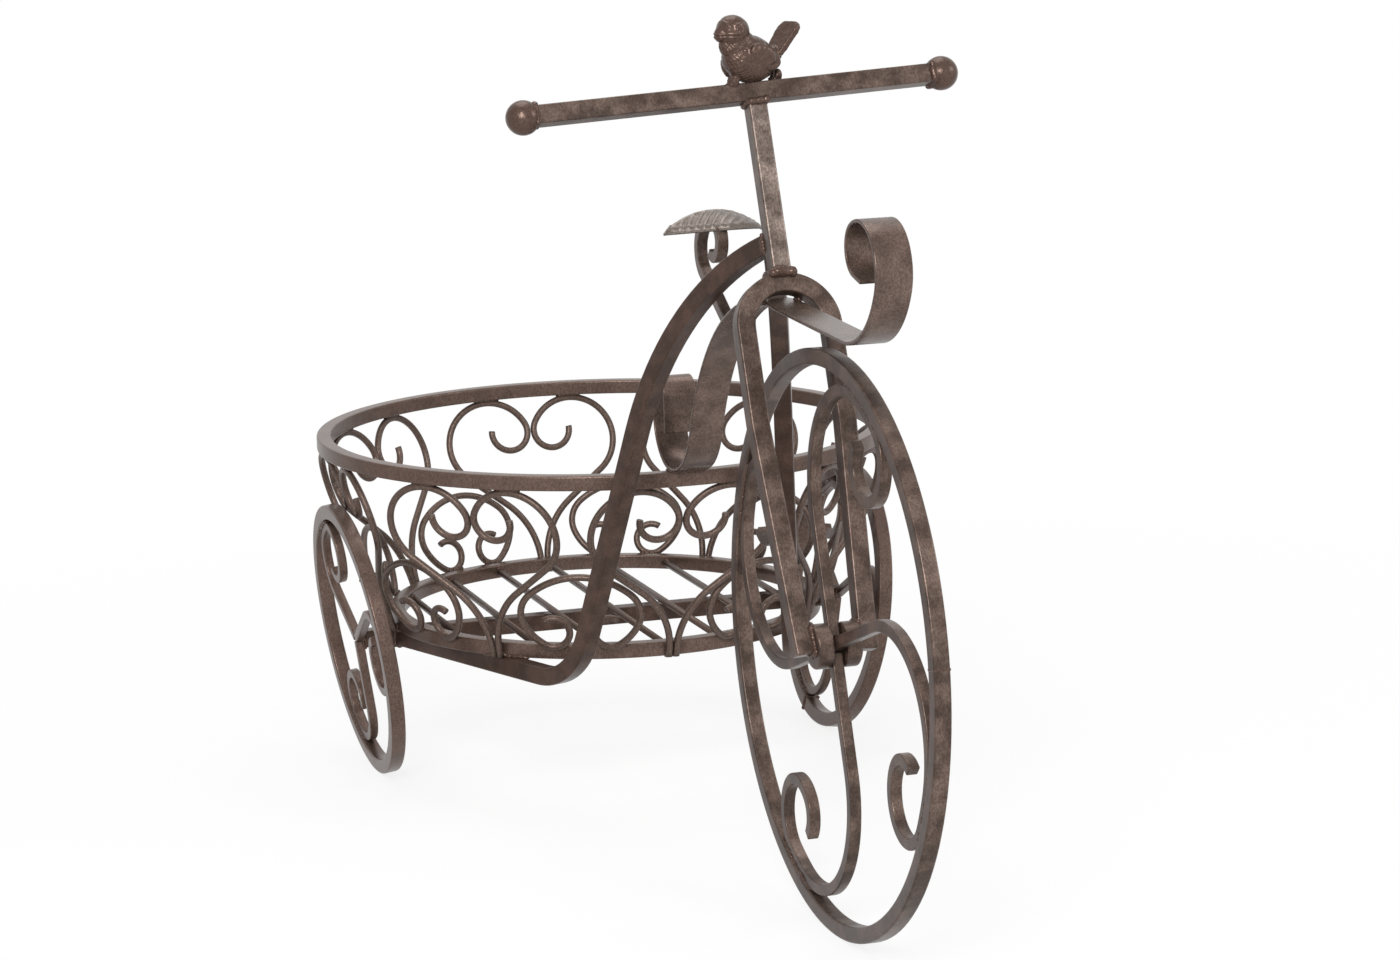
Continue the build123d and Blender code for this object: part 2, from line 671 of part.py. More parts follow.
# C scrolls between the hearts: drawn from the crest down to one curl, then mirrored
scroll_bends = []
for share, turn in zip(scroll_radius_shares, scroll_turns):
    scroll_bends.append((share * panel_pitch, -turn))
to_scroll_foot = 180 - sum(scroll_turns[:3])
scroll_foot_bends = [*scroll_bends[:3], (scroll_radius_shares[3] * panel_pitch, -to_scroll_foot)]
scroll_foot_x, scroll_foot_drop, _ = bend_end((0, 0), 0, scroll_foot_bends)
scroll_edge_reach = sqrt(bottom_ring_radius**2 - scroll_foot_x**2)
for number in range(panel_count):
    angle = (2 * number + 1) * 180 / panel_count - 90
    plane = panel_plane(angle, scroll_edge_reach, bottom_ring_high, wire / 2 + scroll_weld_gap)
    with BuildPart() as scroll:
        bent_wire(plane, (0, -scroll_foot_drop), 0, scroll_bends, wire)
        mirror(about=Plane(origin=plane.origin, z_dir=plane.x_dir))
    write(scroll, f"basket_scroll_{number + 1}")
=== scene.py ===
from math import asin, cos, pi, radians, sin, sqrt

import bmesh
import bpy
from mathutils import Matrix, Vector, noise
from mathutils.bvhtree import BVHTree


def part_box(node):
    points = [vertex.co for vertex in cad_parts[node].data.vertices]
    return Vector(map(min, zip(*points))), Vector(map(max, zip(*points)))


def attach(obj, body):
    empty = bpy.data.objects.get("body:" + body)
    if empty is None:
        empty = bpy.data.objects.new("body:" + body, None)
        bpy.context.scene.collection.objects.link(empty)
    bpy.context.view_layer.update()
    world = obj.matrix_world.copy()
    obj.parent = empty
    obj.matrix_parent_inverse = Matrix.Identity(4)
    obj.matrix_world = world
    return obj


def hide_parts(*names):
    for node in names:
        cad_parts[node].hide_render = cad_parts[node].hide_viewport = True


# A wrought iron tricycle planter. Lengths are in metres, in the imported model's own frame.
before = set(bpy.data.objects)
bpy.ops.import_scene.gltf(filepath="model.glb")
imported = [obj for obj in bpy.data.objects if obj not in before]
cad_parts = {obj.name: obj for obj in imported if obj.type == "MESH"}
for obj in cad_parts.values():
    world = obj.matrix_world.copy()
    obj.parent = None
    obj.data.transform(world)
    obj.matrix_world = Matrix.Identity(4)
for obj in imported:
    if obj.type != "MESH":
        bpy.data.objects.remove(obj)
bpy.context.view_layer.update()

MM = 0.001
WHEEL_BODY = "front_wheel"
FRAME_BODY = "frame"

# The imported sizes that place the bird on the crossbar
BAR = 0.010
HEAD_ANGLE = radians(21.9)
CROSSBAR_HEIGHT = 0.2895

# Edges of bent bars are rolled, not sharp
BAR_EDGE = 0.0011
STRAP_EDGE = 0.0006
SPOKE_EDGE = 0.0007
EDGE_STEPS = 3
EDGE_ROUNDNESS = 0.5
SHARP_ANGLE = radians(40)
FLAT_ANGLE = radians(0.4)
FLAT_WEIGHT = 100
MERGE_REACH = 0.00001
RELAX_SHARE = 0.5

# Paint noises, as (detail, roughness)
CLOUD_NOISE = (4.0, 0.6)
SPECK_NOISE = (1.0, 0.5)
STREAK_NOISE = (2.0, 0.5)
PATCH_NOISE = (2.0, 0.5)
EDGE_PATCH_NOISE = (4.0, 0.55)
SKIN_NOISE = (3.0, 0.6)

# Paint contrasts, as (from low, from high, to low, to high)
CLOUD_RANGE = (0.3, 0.75, 0.24, 0.31)
SPECK_RANGE = (0.52, 0.68, 0.0, 1.0)
MASK_RANGE = (0.0, 1.0, 0.0, 1.0)
# Faces that look up or forward take the pale dust colour, as dust and as a painted highlight
UPWARD_RANGE = (-0.2, 1.0, 0.0, 1.0)
FORWARD_RANGE = (0.3, -1.0, 0.0, 1.0)
STREAK_RANGE = (0.38, 0.62, 0.45, 1.0)
PATCH_RANGE = (0.3, 0.7, 0.82, 1.0)
EDGE_PATCH_RANGE = (0.35, 0.6, 0.25, 1.0)

# What every paint shares
STREAK_STRETCH = (1.0, 1.0, 0.5)
EDGE_PATCH_SIZE = 0.012
GLOSS_CLOUDS = (0.1, 0.8)
RELIEF_DEPTH = 0.0006
SPECULAR_LEVEL = 0.2
METAL_SHARE = 0.45

# Camera, from the vanishing lines and the fitted wheels of the photograph
PICTURE_WIDTH = 1400
PICTURE_HEIGHT = 960
SENSOR = 36.0
FOCAL_PIXELS = 4047.5
PRINCIPAL_X = 687.3
PRINCIPAL_Y = 487.3
CAMERA_PLACE = Vector((-0.6726, -2.07635, 0.6107))
CAMERA_YAW = radians(-17.74)
CAMERA_PITCH = radians(10.8)
CAMERA_ROLL = radians(-1.35)


# Node helpers
def add_node(tree, kind, label, **settings):
    """Add a node with a plain label and set its properties."""
    node = tree.nodes.new(kind)
    node.label = label
    for name, value in settings.items():
        setattr(node, name, value)
    return node


def set_inputs(node, **values):
    """Set the default values of a node's inputs by their names, written with underscores."""
    for name, value in values.items():
        node.inputs[name.replace("_", " ")].default_value = value


def new_group(name, kind, inputs, outputs):
    """Make a node group with named sockets, each given as (name, socket type, default)."""
    group = bpy.data.node_groups.new(name, kind)
    for label, socket_type, default in inputs:
        socket = group.interface.new_socket(label, in_out="INPUT", socket_type=socket_type)
        if default is not None:
            socket.default_value = default
    for label, socket_type in outputs:
        group.interface.new_socket(label, in_out="OUTPUT", socket_type=socket_type)
    return group


def remap(tree, label, value, low, high, out_low=0.0, out_high=1.0):
    """Map a value from one range onto another, held at the ends."""
    node = add_node(tree, "ShaderNodeMapRange", label)
    set_inputs(node, From_Min=low, From_Max=high, To_Min=out_low, To_Max=out_high)
    tree.links.new(value, node.inputs["Value"])
    return node.outputs["Result"]


def math_node(tree, label, operation, first, second):
    """Combine two values, each a socket or a number."""
    node = add_node(tree, "ShaderNodeMath", label, operation=operation)
    for index, value in enumerate((first, second)):
        if isinstance(value, (int, float)):
            node.inputs[index].default_value = value
        else:
            tree.links.new(value, node.inputs[index])
    return node.outputs["Value"]


def blend_colours(tree, label, factor, first, second):
    """Blend two colours, each a socket or a tuple."""
    node = add_node(tree, "ShaderNodeMix", label, data_type="RGBA")
    tree.links.new(factor, node.inputs["Factor"])
    colour_inputs = [socket for socket in node.inputs if socket.type == "RGBA"]
    for socket, value in zip(colour_inputs, (first, second)):
        if isinstance(value, tuple):
            socket.default_value = value
        else:
            tree.links.new(value, socket)
    return [socket for socket in node.outputs if socket.type == "RGBA"][0]


def noise_node(tree, label, place, size, detail, roughness):
    """Add a noise whose grains are about as large as a size in metres, a socket or a number."""
    node = add_node(tree, "ShaderNodeTexNoise", label)
    set_inputs(node, Detail=detail, Roughness=roughness)
    tree.links.new(place, node.inputs["Vector"])
    if isinstance(size, float):
        node.inputs["Scale"].default_value = 1 / size
    else:
        scale = math_node(tree, label + " scale", "DIVIDE", 1.0, size)
        tree.links.new(scale, node.inputs["Scale"])
    return node.outputs["Fac"]


# Paint effects that every finish shares
def paint_group(name, inputs, outputs):
    """Open a paint effect: the group, its given values, its results and the place on the object."""
    group = new_group(name, "ShaderNodeTree", inputs, outputs)
    given = add_node(group, "NodeGroupInput", "given values").outputs
    result = add_node(group, "NodeGroupOutput", "results").inputs
    place = add_node(group, "ShaderNodeTexCoord", "object place").outputs["Object"]
    return group, given, result, place


def make_mottle_group():
    """Cloudy change between a deep and a pale shade, with fine specks of the pale one."""
    group, given, result, place = paint_group(
        "paint_mottle",
        [
            ("Deep", "NodeSocketColor", (0.05, 0.03, 0.02, 1)),
            ("Pale", "NodeSocketColor", (0.12, 0.08, 0.06, 1)),
            ("Cloud Size", "NodeSocketFloat", 0.018),
            ("Speck Size", "NodeSocketFloat", 0.0008),
            ("Speck Share", "NodeSocketFloat", 0.4),
        ],
        [("Color", "NodeSocketColor"), ("Cloud", "NodeSocketFloat")],
    )
    clouds = noise_node(group, "clouds", place, given["Cloud Size"], *CLOUD_NOISE)
    clouds = remap(group, "cloud contrast", clouds, *CLOUD_RANGE)
    specks = noise_node(group, "specks", place, given["Speck Size"], *SPECK_NOISE)
    specks = remap(group, "speck contrast", specks, *SPECK_RANGE)
    specks = math_node(group, "speck strength", "MULTIPLY", specks, given["Speck Share"])
    mask = math_node(group, "clouds and specks", "ADD", clouds, specks)
    mask = remap(group, "mask limit", mask, *MASK_RANGE)
    colour = blend_colours(group, "deep to pale", mask, given["Deep"], given["Pale"])
    group.links.new(colour, result["Color"])
    group.links.new(mask, result["Cloud"])
    return group


def make_dust_and_highlight_group():
    """A pale dry-brushed dusting, and a painted highlight, on faces that look up or forward towards
    the lights, broken up by streaks.
    """
    group, given, result, place = paint_group(
        "dry_brushing_and_highlight",
        [
            ("Color", "NodeSocketColor", (0.1, 0.07, 0.05, 1)),
            # The dust colour is also a painted highlight
            ("Dust", "NodeSocketColor", (0.35, 0.3, 0.27, 1)),
            ("Dust Share", "NodeSocketFloat", 0.4),
            ("Streak Size", "NodeSocketFloat", 0.0008),
            ("Patch Size", "NodeSocketFloat", 0.05),
        ],
        [("Color", "NodeSocketColor"), ("Mask", "NodeSocketFloat")],
    )
    facing = add_node(group, "ShaderNodeNewGeometry", "surface direction").outputs["Normal"]
    split = add_node(group, "ShaderNodeSeparateXYZ", "direction parts")
    group.links.new(facing, split.inputs["Vector"])
    upward = remap(group, "upward", split.outputs["Z"], *UPWARD_RANGE)
    # Faces towards the key light and the camera take a painted highlight as well as dust
    forward = remap(group, "forward", split.outputs["Y"], *FORWARD_RANGE)
    exposed = math_node(group, "most exposed", "MAXIMUM", upward, forward)
    stretched = add_node(group, "ShaderNodeMapping", "streak direction")
    stretched.inputs["Scale"].default_value = STREAK_STRETCH
    group.links.new(place, stretched.inputs["Vector"])
    along = stretched.outputs["Vector"]
    streaks = noise_node(group, "streaks", along, given["Streak Size"], *STREAK_NOISE)
    broken = remap(group, "broken streaks", streaks, *STREAK_RANGE)
    patches = noise_node(group, "patches", place, given["Patch Size"], *PATCH_NOISE)
    patches = remap(group, "heavy and light patches", patches, *PATCH_RANGE)
    broken = math_node(group, "broken in patches", "MULTIPLY", broken, patches)
    mask = math_node(group, "dust on exposed faces", "MULTIPLY", exposed, broken)
    mask = math_node(group, "dust strength", "MULTIPLY", mask, given["Dust Share"])
    colour = blend_colours(group, "dusted_and_lit", mask, given["Color"], given["Dust"])
    group.links.new(colour, result["Color"])
    group.links.new(mask, result["Mask"])
    return group


def make_edge_group():
    """Painted shade darkening the rolled edges, and a painted highlight where the edge colour is
    pale, from the rolled-edge attribute of a dressed piece.
    """
    group, given, result, place = paint_group(
        "edge_shade_and_highlight",
        [
            ("Color", "NodeSocketColor", (0.1, 0.07, 0.05, 1)),
            ("Edge", "NodeSocketColor", (0.03, 0.02, 0.015, 1)),
            ("Edge Share", "NodeSocketFloat", 0.6),
        ],
        [("Color", "NodeSocketColor"), ("Mask", "NodeSocketFloat")],
    )
    rolled = add_node(group, "ShaderNodeAttribute", "rolled edge", attribute_name="rolled_edge")
    patches = noise_node(group, "patches of edge shade and highlight", place, EDGE_PATCH_SIZE, *EDGE_PATCH_NOISE)
    patches = remap(group, "patch contrast", patches, *EDGE_PATCH_RANGE)
    # Dark on the bars' rolled edges as painted shade, pale on raised relief as a painted highlight
    mask = math_node(group, "painted edge shade and highlight", "MULTIPLY", rolled.outputs["Fac"], patches)
    mask = math_node(group, "edge strength", "MULTIPLY", mask, given["Edge Share"])
    colour = blend_colours(group, "edge colour", mask, given["Color"], given["Edge"])
    group.links.new(colour, result["Color"])
    group.links.new(mask, result["Mask"])
    return group


def make_skin_group():
    """The height of the paint skin: shallow hammer waves under a fine orange-peel grain."""
    group, given, result, place = paint_group(
        "paint_skin",
        [
            ("Wave Size", "NodeSocketFloat", 0.012),
            ("Grain Size", "NodeSocketFloat", 0.0009),
            ("Grain Share", "NodeSocketFloat", 0.3),
        ],
        [("Height", "NodeSocketFloat")],
    )
    waves = noise_node(group, "waves", place, given["Wave Size"], *SKIN_NOISE)
    grain = noise_node(group, "grain", place, given["Grain Size"], *SKIN_NOISE)
    grain = math_node(group, "grain strength", "MULTIPLY", grain, given["Grain Share"])
    height = math_node(group, "waves and grain", "ADD", waves, grain)
    group.links.new(height, result["Height"])
    return group


MOTTLE = make_mottle_group()
DUST_AND_HIGHLIGHT = make_dust_and_highlight_group()
EDGE_SHADE_AND_HIGHLIGHT = make_edge_group()
SKIN = make_skin_group()


def place_group(tree, group, label, **values):
    """Place a node group in a material, with its own values."""
    node = add_node(tree, "ShaderNodeGroup", label)
    node.node_tree = group
    set_inputs(node, **values)
    return node


def painted_iron(name, deep, pale, dust_and_highlight, dust_and_highlight_share, edge, edge_share, roughness, wave, bump):
    """Make one painted finish from the shared paint effects."""
    material = bpy.data.materials.new(name)
    material.use_nodes = True
    tree = material.node_tree
    shader = tree.nodes["Principled BSDF"]
    mottle = place_group(tree, MOTTLE, "mottled paint", Deep=deep, Pale=pale)
    # The dust colour and share also paint a highlight on faces that look up or forward
    dusted_and_lit = place_group(tree, DUST_AND_HIGHLIGHT, "dry brushing and painted highlight", Dust=dust_and_highlight, Dust_Share=dust_and_highlight_share)
    # The edge colour paints shade on rolled edges when dark and a highlight on raised relief when
    # pale
    edged = place_group(tree, EDGE_SHADE_AND_HIGHLIGHT, "edges", Edge=edge, Edge_Share=edge_share)
    skin = place_group(tree, SKIN, "paint skin", Wave_Size=wave)
    tree.links.new(mottle.outputs["Color"], dusted_and_lit.inputs["Color"])
    tree.links.new(dusted_and_lit.outputs["Color"], edged.inputs["Color"])
    tree.links.new(edged.outputs["Color"], shader.inputs["Base Color"])
    clouds = mottle.outputs["Cloud"]
    gloss = remap(tree, "gloss follows the clouds", clouds, *GLOSS_CLOUDS, *roughness)
    tree.links.new(gloss, shader.inputs["Roughness"])
    relief = add_node(tree, "ShaderNodeBump", "paint relief")
    set_inputs(relief, Strength=bump, Distance=RELIEF_DEPTH)
    tree.links.new(skin.outputs["Height"], relief.inputs["Height"])
    tree.links.new(relief.outputs["Normal"], shader.inputs["Normal"])
    set_inputs(shader, Specular_IOR_Level=SPECULAR_LEVEL, Metallic=METAL_SHARE)
    return material


def linear(red, green, blue):
    """Turn a colour read off, 0 to 255, into the shader's linear colour."""
    parts = []
    for part in (red, green, blue):
        share = part / 255
        parts.append(share / 12.92 if share <= 0.04045 else ((share + 0.055) / 1.055) ** 2.4)
    return (*parts, 1.0)


# Finishes: colours are read off, roughness is a range, a wave is in metres
# Each dust colour is also a painted highlight on faces that look up or forward; the dark edge
# colour is painted shade on rolled edges
PAINTED_EDGE_SHADE = linear(38, 28, 24)
BRONZE = painted_iron(
    "bronze_paint_finish",
    deep=linear(66, 46, 38),
    pale=linear(96, 71, 60),
    dust_and_highlight=linear(170, 152, 140),
    dust_and_highlight_share=0.5,
    edge=PAINTED_EDGE_SHADE,
    edge_share=0.7,
    roughness=(0.3, 0.38),
    wave=0.02,
    bump=0.07,
)
# A paler copy of the bronze paint for the column: heavier dry brushing, and a painted highlight on
# its lit front face
COLUMN_PAINT_AND_HIGHLIGHT = painted_iron(
    "column_paint_and_highlight_finish",
    deep=linear(74, 55, 47),
    pale=linear(104, 82, 72),
    dust_and_highlight=linear(184, 168, 157),
    dust_and_highlight_share=0.85,
    edge=PAINTED_EDGE_SHADE,
    edge_share=0.7,
    roughness=(0.3, 0.38),
    wave=0.02,
    bump=0.07,
)
STRAP_PAINT = painted_iron(
    "strap_paint_finish",
    deep=linear(64, 44, 36),
    pale=linear(88, 63, 52),
    dust_and_highlight=linear(176, 157, 146),
    dust_and_highlight_share=0.46,
    edge=PAINTED_EDGE_SHADE,
    edge_share=0.5,
    roughness=(0.24, 0.3),
    wave=0.03,
    bump=0.08,
)
BROWN = painted_iron(
    "brown_paint_finish",
    deep=linear(64, 44, 36),
    pale=linear(90, 63, 52),
    dust_and_highlight=linear(140, 121, 110),
    dust_and_highlight_share=0.3,
    edge=PAINTED_EDGE_SHADE,
    edge_share=0.6,
    roughness=(0.28, 0.36),
    wave=0.024,
    bump=0.07,
)
RING_PAINT = painted_iron(
    "ring_paint_finish",
    deep=linear(64, 44, 36),
    pale=linear(92, 67, 56),
    dust_and_highlight=linear(160, 141, 130),
    dust_and_highlight_share=0.45,
    edge=PAINTED_EDGE_SHADE,
    edge_share=0.3,
    roughness=(0.28, 0.36),
    wave=0.024,
    bump=0.07,
)
WIRE_PAINT = painted_iron(
    "wire_paint_finish",
    deep=linear(54, 38, 31),
    pale=linear(80, 59, 50),
    dust_and_highlight=linear(150, 134, 124),
    dust_and_highlight_share=0.4,
    edge=linear(44, 34, 30),
    edge_share=0.0,
    roughness=(0.34, 0.48),
    wave=0.006,
    bump=0.4,
)
CAST_PAINT = painted_iron(
    "cast_paint_finish",
    deep=linear(56, 40, 33),
    pale=linear(90, 66, 56),
    dust_and_highlight=linear(150, 133, 123),
    dust_and_highlight_share=0.2,
    # A pale edge colour: a painted highlight on the bird's raised relief
    edge=linear(120, 102, 92),
    edge_share=0.25,
    roughness=(0.22, 0.36),
    wave=0.004,
    bump=0.4,
)
LEAF_PAINT = painted_iron(
    "leaf_paint_finish",
    deep=linear(58, 48, 43),
    pale=linear(96, 84, 77),
    dust_and_highlight=linear(158, 149, 142),
    dust_and_highlight_share=0.5,
    # A pale edge colour: a painted highlight on the leaf's raised veins
    edge=linear(172, 164, 157),
    edge_share=0.55,
    roughness=(0.3, 0.44),
    wave=0.004,
    bump=0.4,
)


# Mesh helpers
def linked_object(name, data):
    """Make an object and put it in the scene."""
    made = bpy.data.objects.new(name, data)
    bpy.context.scene.collection.objects.link(made)
    return made


def box_of(node_name):
    """Return a node's lowest and highest corner."""
    low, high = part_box(node_name)
    return Vector(low), Vector(high)


def baked(holder):
    """Return what an object's modifiers make, as a bmesh, and remove the object."""
    finished = holder.evaluated_get(bpy.context.evaluated_depsgraph_get())
    data = bpy.data.meshes.new_from_object(finished)
    bpy.data.objects.remove(holder)
    mesh = bmesh.new()
    mesh.from_mesh(data)
    bpy.data.meshes.remove(data)
    return mesh


def relax(mesh, rounds):
    """Smooth a mesh by drawing each point towards its neighbours."""
    axes = {"use_axis_x": True, "use_axis_y": True, "use_axis_z": True}
    for _ in range(rounds):
        bmesh.ops.smooth_vert(mesh, verts=mesh.verts, factor=RELAX_SHARE, **axes)


def merged_mesh(node_name):
    """Return a bmesh copy of a node with its loose triangles merged."""
    mesh = bmesh.new()
    mesh.from_mesh(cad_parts[node_name].data)
    bmesh.ops.remove_doubles(mesh, verts=mesh.verts, dist=MERGE_REACH)
    return mesh


def roll_edges(mesh, width):
    """Roll the sharp edges and mark the new faces in the rolled_edge attribute."""
    layer = mesh.verts.layers.float.new("rolled_edge")
    folded = [edge for edge in mesh.edges if edge.is_manifold]
    sharp = [edge for edge in folded if edge.calc_face_angle() > SHARP_ANGLE]
    if not sharp:
        return
    result = bmesh.ops.bevel(
        mesh,
        geom=sharp,
        offset=width,
        segments=EDGE_STEPS,
        profile=EDGE_ROUNDNESS,
        affect="EDGES",
        clamp_overlap=True,
    )
    for face in result["faces"]:
        for vert in face.verts:
            vert[layer] = 1.0


def add_piece(name, mesh, body, material):
    """Turn a bmesh into a piece that rides on a body and takes the given finish."""
    data = bpy.data.meshes.new(name)
    mesh.to_mesh(data)
    mesh.free()
    for polygon in data.polygons:
        polygon.use_smooth = True
    data.materials.append(material)
    piece = linked_object(name, data)
    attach(piece, body)
    return piece


def keep_flats_flat(piece):
    """Shade the large flat faces flat and the rolled edges round."""
    weighted = piece.modifiers.new("flat faces", "WEIGHTED_NORMAL")
    weighted.weight = FLAT_WEIGHT
    weighted.keep_sharp = False


def dress_bar(node_name, body, material, edge):
    """Replace a packed bar by a copy with rolled edges."""
    mesh = merged_mesh(node_name)
    bmesh.ops.dissolve_limit(mesh, angle_limit=FLAT_ANGLE, verts=mesh.verts, edges=mesh.edges)
    roll_edges(mesh, edge)
    bmesh.ops.triangulate(mesh, faces=[face for face in mesh.faces if len(face.verts) > 4])
    piece = add_piece("dressed_" + node_name, mesh, body, material)
    keep_flats_flat(piece)
    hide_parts(node_name)


def dress_wire(node_name, body, material):
    """Replace a packed wire or ball by a merged, smooth copy."""
    mesh = merged_mesh(node_name)
    piece = add_piece("dressed_" + node_name, mesh, body, material)
    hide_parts(node_name)


def nodes_named(start):
    """Return the names of the nodes that start with a word, in order."""
    return sorted(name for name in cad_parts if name.startswith(start))


BRONZE_BARS = ["fork", "handlebar", "hub_sleeve_left", "hub_sleeve_right"]
BROWN_BARS = ["frame_bar_left", "frame_bar_right", "rear_axle"]
RIMS = ["rear_rim_left", "rear_rim_right"]
RINGS = ["basket_top_ring", "basket_bottom_ring"]
for name in BRONZE_BARS:
    dress_bar(name, FRAME_BODY, BRONZE, BAR_EDGE)
dress_bar("steering_column", FRAME_BODY, COLUMN_PAINT_AND_HIGHLIGHT, BAR_EDGE)
for name in BROWN_BARS:
    dress_bar(name, FRAME_BODY, BROWN, BAR_EDGE)
for name in RIMS:
    dress_bar(name, FRAME_BODY, RING_PAINT, BAR_EDGE)
for name in RINGS:
    dress_bar(name, FRAME_BODY, RING_PAINT, BAR_EDGE)
dress_bar("front_wheel_rim", WHEEL_BODY, BRONZE, BAR_EDGE)
dress_bar("strap_scroll", FRAME_BODY, STRAP_PAINT, STRAP_EDGE)
dress_bar("saddle_stem", FRAME_BODY, BRONZE, SPOKE_EDGE)
for name in nodes_named("front_spoke"):
    dress_bar(name, WHEEL_BODY, BRONZE, SPOKE_EDGE)
dress_bar("front_axle_pin", WHEEL_BODY, BRONZE, STRAP_EDGE)
for name in nodes_named("rear_spoke"):
    dress_bar(name, FRAME_BODY, RING_PAINT, SPOKE_EDGE)
for start in ("basket_heart", "basket_scroll", "basket_floor_rod"):
    for name in nodes_named(start):
        dress_wire(name, FRAME_BODY, WIRE_PAINT)
for name in nodes_named("handlebar_ball"):
    dress_wire(name, FRAME_BODY, CAST_PAINT)


# Cast bird: rough forms are melted together, then its eye, beak and feathers are pressed in
BIRD_TURN = radians(15)
BIRD_FORWARD = Vector((-cos(BIRD_TURN), -sin(BIRD_TURN), 0))
BIRD_UP = Vector((0, 0, 1))
BIRD_LEFT = BIRD_UP.cross(BIRD_FORWARD)
BIRD_VOXEL = 0.00042
EGG_SUBDIVISIONS = 4
BIRD_RELAX_ROUNDS = 5
BIRD_HIGHLIGHT_RELIEF = 0.6
BELLY_LIFT = radians(15)
PERCH_SLOPE = sin(radians(3))

# Its forms in its own millimetres, forward, left and up: place, direction, three half lengths
BIRD_FORMS = {
    "belly": ((2.0, 0, 13.0), (cos(BELLY_LIFT), 0, sin(BELLY_LIFT)), (15.3, 11.4, 12.4)),
    "chest": ((7.5, 0, 19.0), (1, 0, 1), (11.0, 8.6, 9.4)),
    "head": ((11.6, 0, 27.7), (1, 0, 0), (8.8, 8.6, 8.5)),
    "upper beak": ((14.6, 0, 28.4), (1, 0, -0.5), (8.6, 5.2, 4.8)),
    "lower beak": ((14.8, 0, 24.9), (1, 0, 0.05), (6.2, 4.4, 2.7)),
    "throat": ((13.0, 0, 20.5), (-0.2, 0, 1), (7.0, 5.6, 6.2)),
    "thigh": ((10.8, -6.0, 9.5), (0.3, 0, 1), (6.0, 3.0, 4.0)),
    "right wing": ((-2.4, -9.2, 14.4), (0.86, -0.14, 0.5), (10.8, 3.0, 6.2)),
    "left wing": ((-2.4, 9.2, 14.4), (0.86, 0.14, 0.5), (10.8, 3.0, 6.2)),
}
TAIL_RISE = radians(52)
TAIL_DIRECTION = (-cos(TAIL_RISE), 0, sin(TAIL_RISE))
TAIL_FLAT_SIDE = (-0.22, 1, 0)
TAIL_ROOT = (-10.6, 0, 11.0)
TAIL_LENGTH = 24.2
TAIL_WIDTHS = (10.0, 15.0)
TAIL_THICKNESS = 3.4
TAIL_STEPS = 10
TAIL_ROUND_FROM = 0.7
TAIL_ROUNDING = 0.6
TAIL_COVERT = ((-10.6, 0, 12.6), TAIL_DIRECTION, (7.0, 5.6, 4.6))

# Its feet stand at these places forward; each is a shin and a toe, on the left and on the right
FOOT_PLACES = (-14.8, 11.6)
FOOT_SIDES = ((-1.6, 1.4), (1.6, 1.0))
SHIN_HEIGHT = 2.6
SHIN_SIZES = (3.8, 2.2, 2.4)
TOE_HEIGHT = 0.9
TOE_SIZES = (2.8, 1.2, 1.1)

# Its relief in millimetres: lines in the side view as (forward, up), ridges as (height, width)
EYE = (12.3, 28.7)
EYE_FROM_SIDE = 5
EYE_HOLLOW_RIDGE = (-0.35, 1.0)
EYE_RING = 1.75
EYE_RING_RIDGE = (0.55, 0.5)
EYE_FOLD = ((14.5, 31.5), (9.5, 32.0))
EYE_FOLD_RIDGE = (0.3, 0.6)
MOUTH_LINE = ((22.0, 26.0), (12.5, 26.0))
MOUTH_RIDGE = (-0.5, 0.45)
LIP_OFFSET = 0.75
LIP_RIDGE = (0.35, 0.4)
BEAK_FOLD = ((18.0, 33.0), (16.6, 29.8))
BEAK_FOLD_RIDGE = (0.3, 0.5)
WING_LINE = ((5.5, 18.5), (-14.5, 8.0))
WING_FROM_SIDE = 4
WING_BELOW = 22
WING_BEHIND = 8
WING_REACH = 6.0
WING_RIM = 5.6
WING_RIM_RIDGE = (-0.3, 0.5)
FEATHER_ROWS = 24.0
FEATHER_SLANT = 0.9
FEATHER_RIDGE = (0.28, 4.0)
DOWN_AHEAD = -4
DOWN_BELOW = 24
DOWN_WITHIN_SIDE = 9
DOWN_HEIGHT = 0.16
DOWN_ROWS = 2.4
DOWN_ROW_BEND = 1.3
DOWN_BEND_ROWS = 1.1
DOWN_STEPS = 2.1
DOWN_SKEW = 1.2
CAST_LUMPS = ((0.22, 0.0042), (0.1, 0.0016))
BELL_BASE = 2.718


def bird_perch():
    """Return the point of the crossbar's top face on which the bird stands."""
    rim_low, rim_high = box_of("front_wheel_rim")
    hub = (rim_low + rim_high) / 2
    climb = Vector((0, sin(HEAD_ANGLE), cos(HEAD_ANGLE)))
    return Vector((0, hub.y, hub.z)) + climb * (CROSSBAR_HEIGHT + BAR / 2)


def bird_way(forward, left, up):
    """Turn a direction in the bird's own axes into one of the model."""
    return BIRD_FORWARD * forward + BIRD_LEFT * left + BIRD_UP * up


def bird_point(perch, forward, left, up):
    """Turn the bird's own millimetres into the model's metres."""
    return perch + bird_way(forward, left, up) * MM


def add_egg(mesh, perch, place, direction, sizes):
    """Add an egg shape whose long axis lies along a direction, all in the bird's own axes."""
    along = bird_way(*direction).normalized()
    across = (BIRD_LEFT - along * BIRD_LEFT.dot(along)).normalized()
    up = along.cross(across)
    axes = (along * sizes[0] * MM, across * sizes[1] * MM, up * sizes[2] * MM)
    turn = Matrix.Translation(bird_point(perch, *place)) @ Matrix(axes).transposed().to_4x4()
    bmesh.ops.create_icosphere(mesh, subdivisions=EGG_SUBDIVISIONS, radius=1.0, matrix=turn)


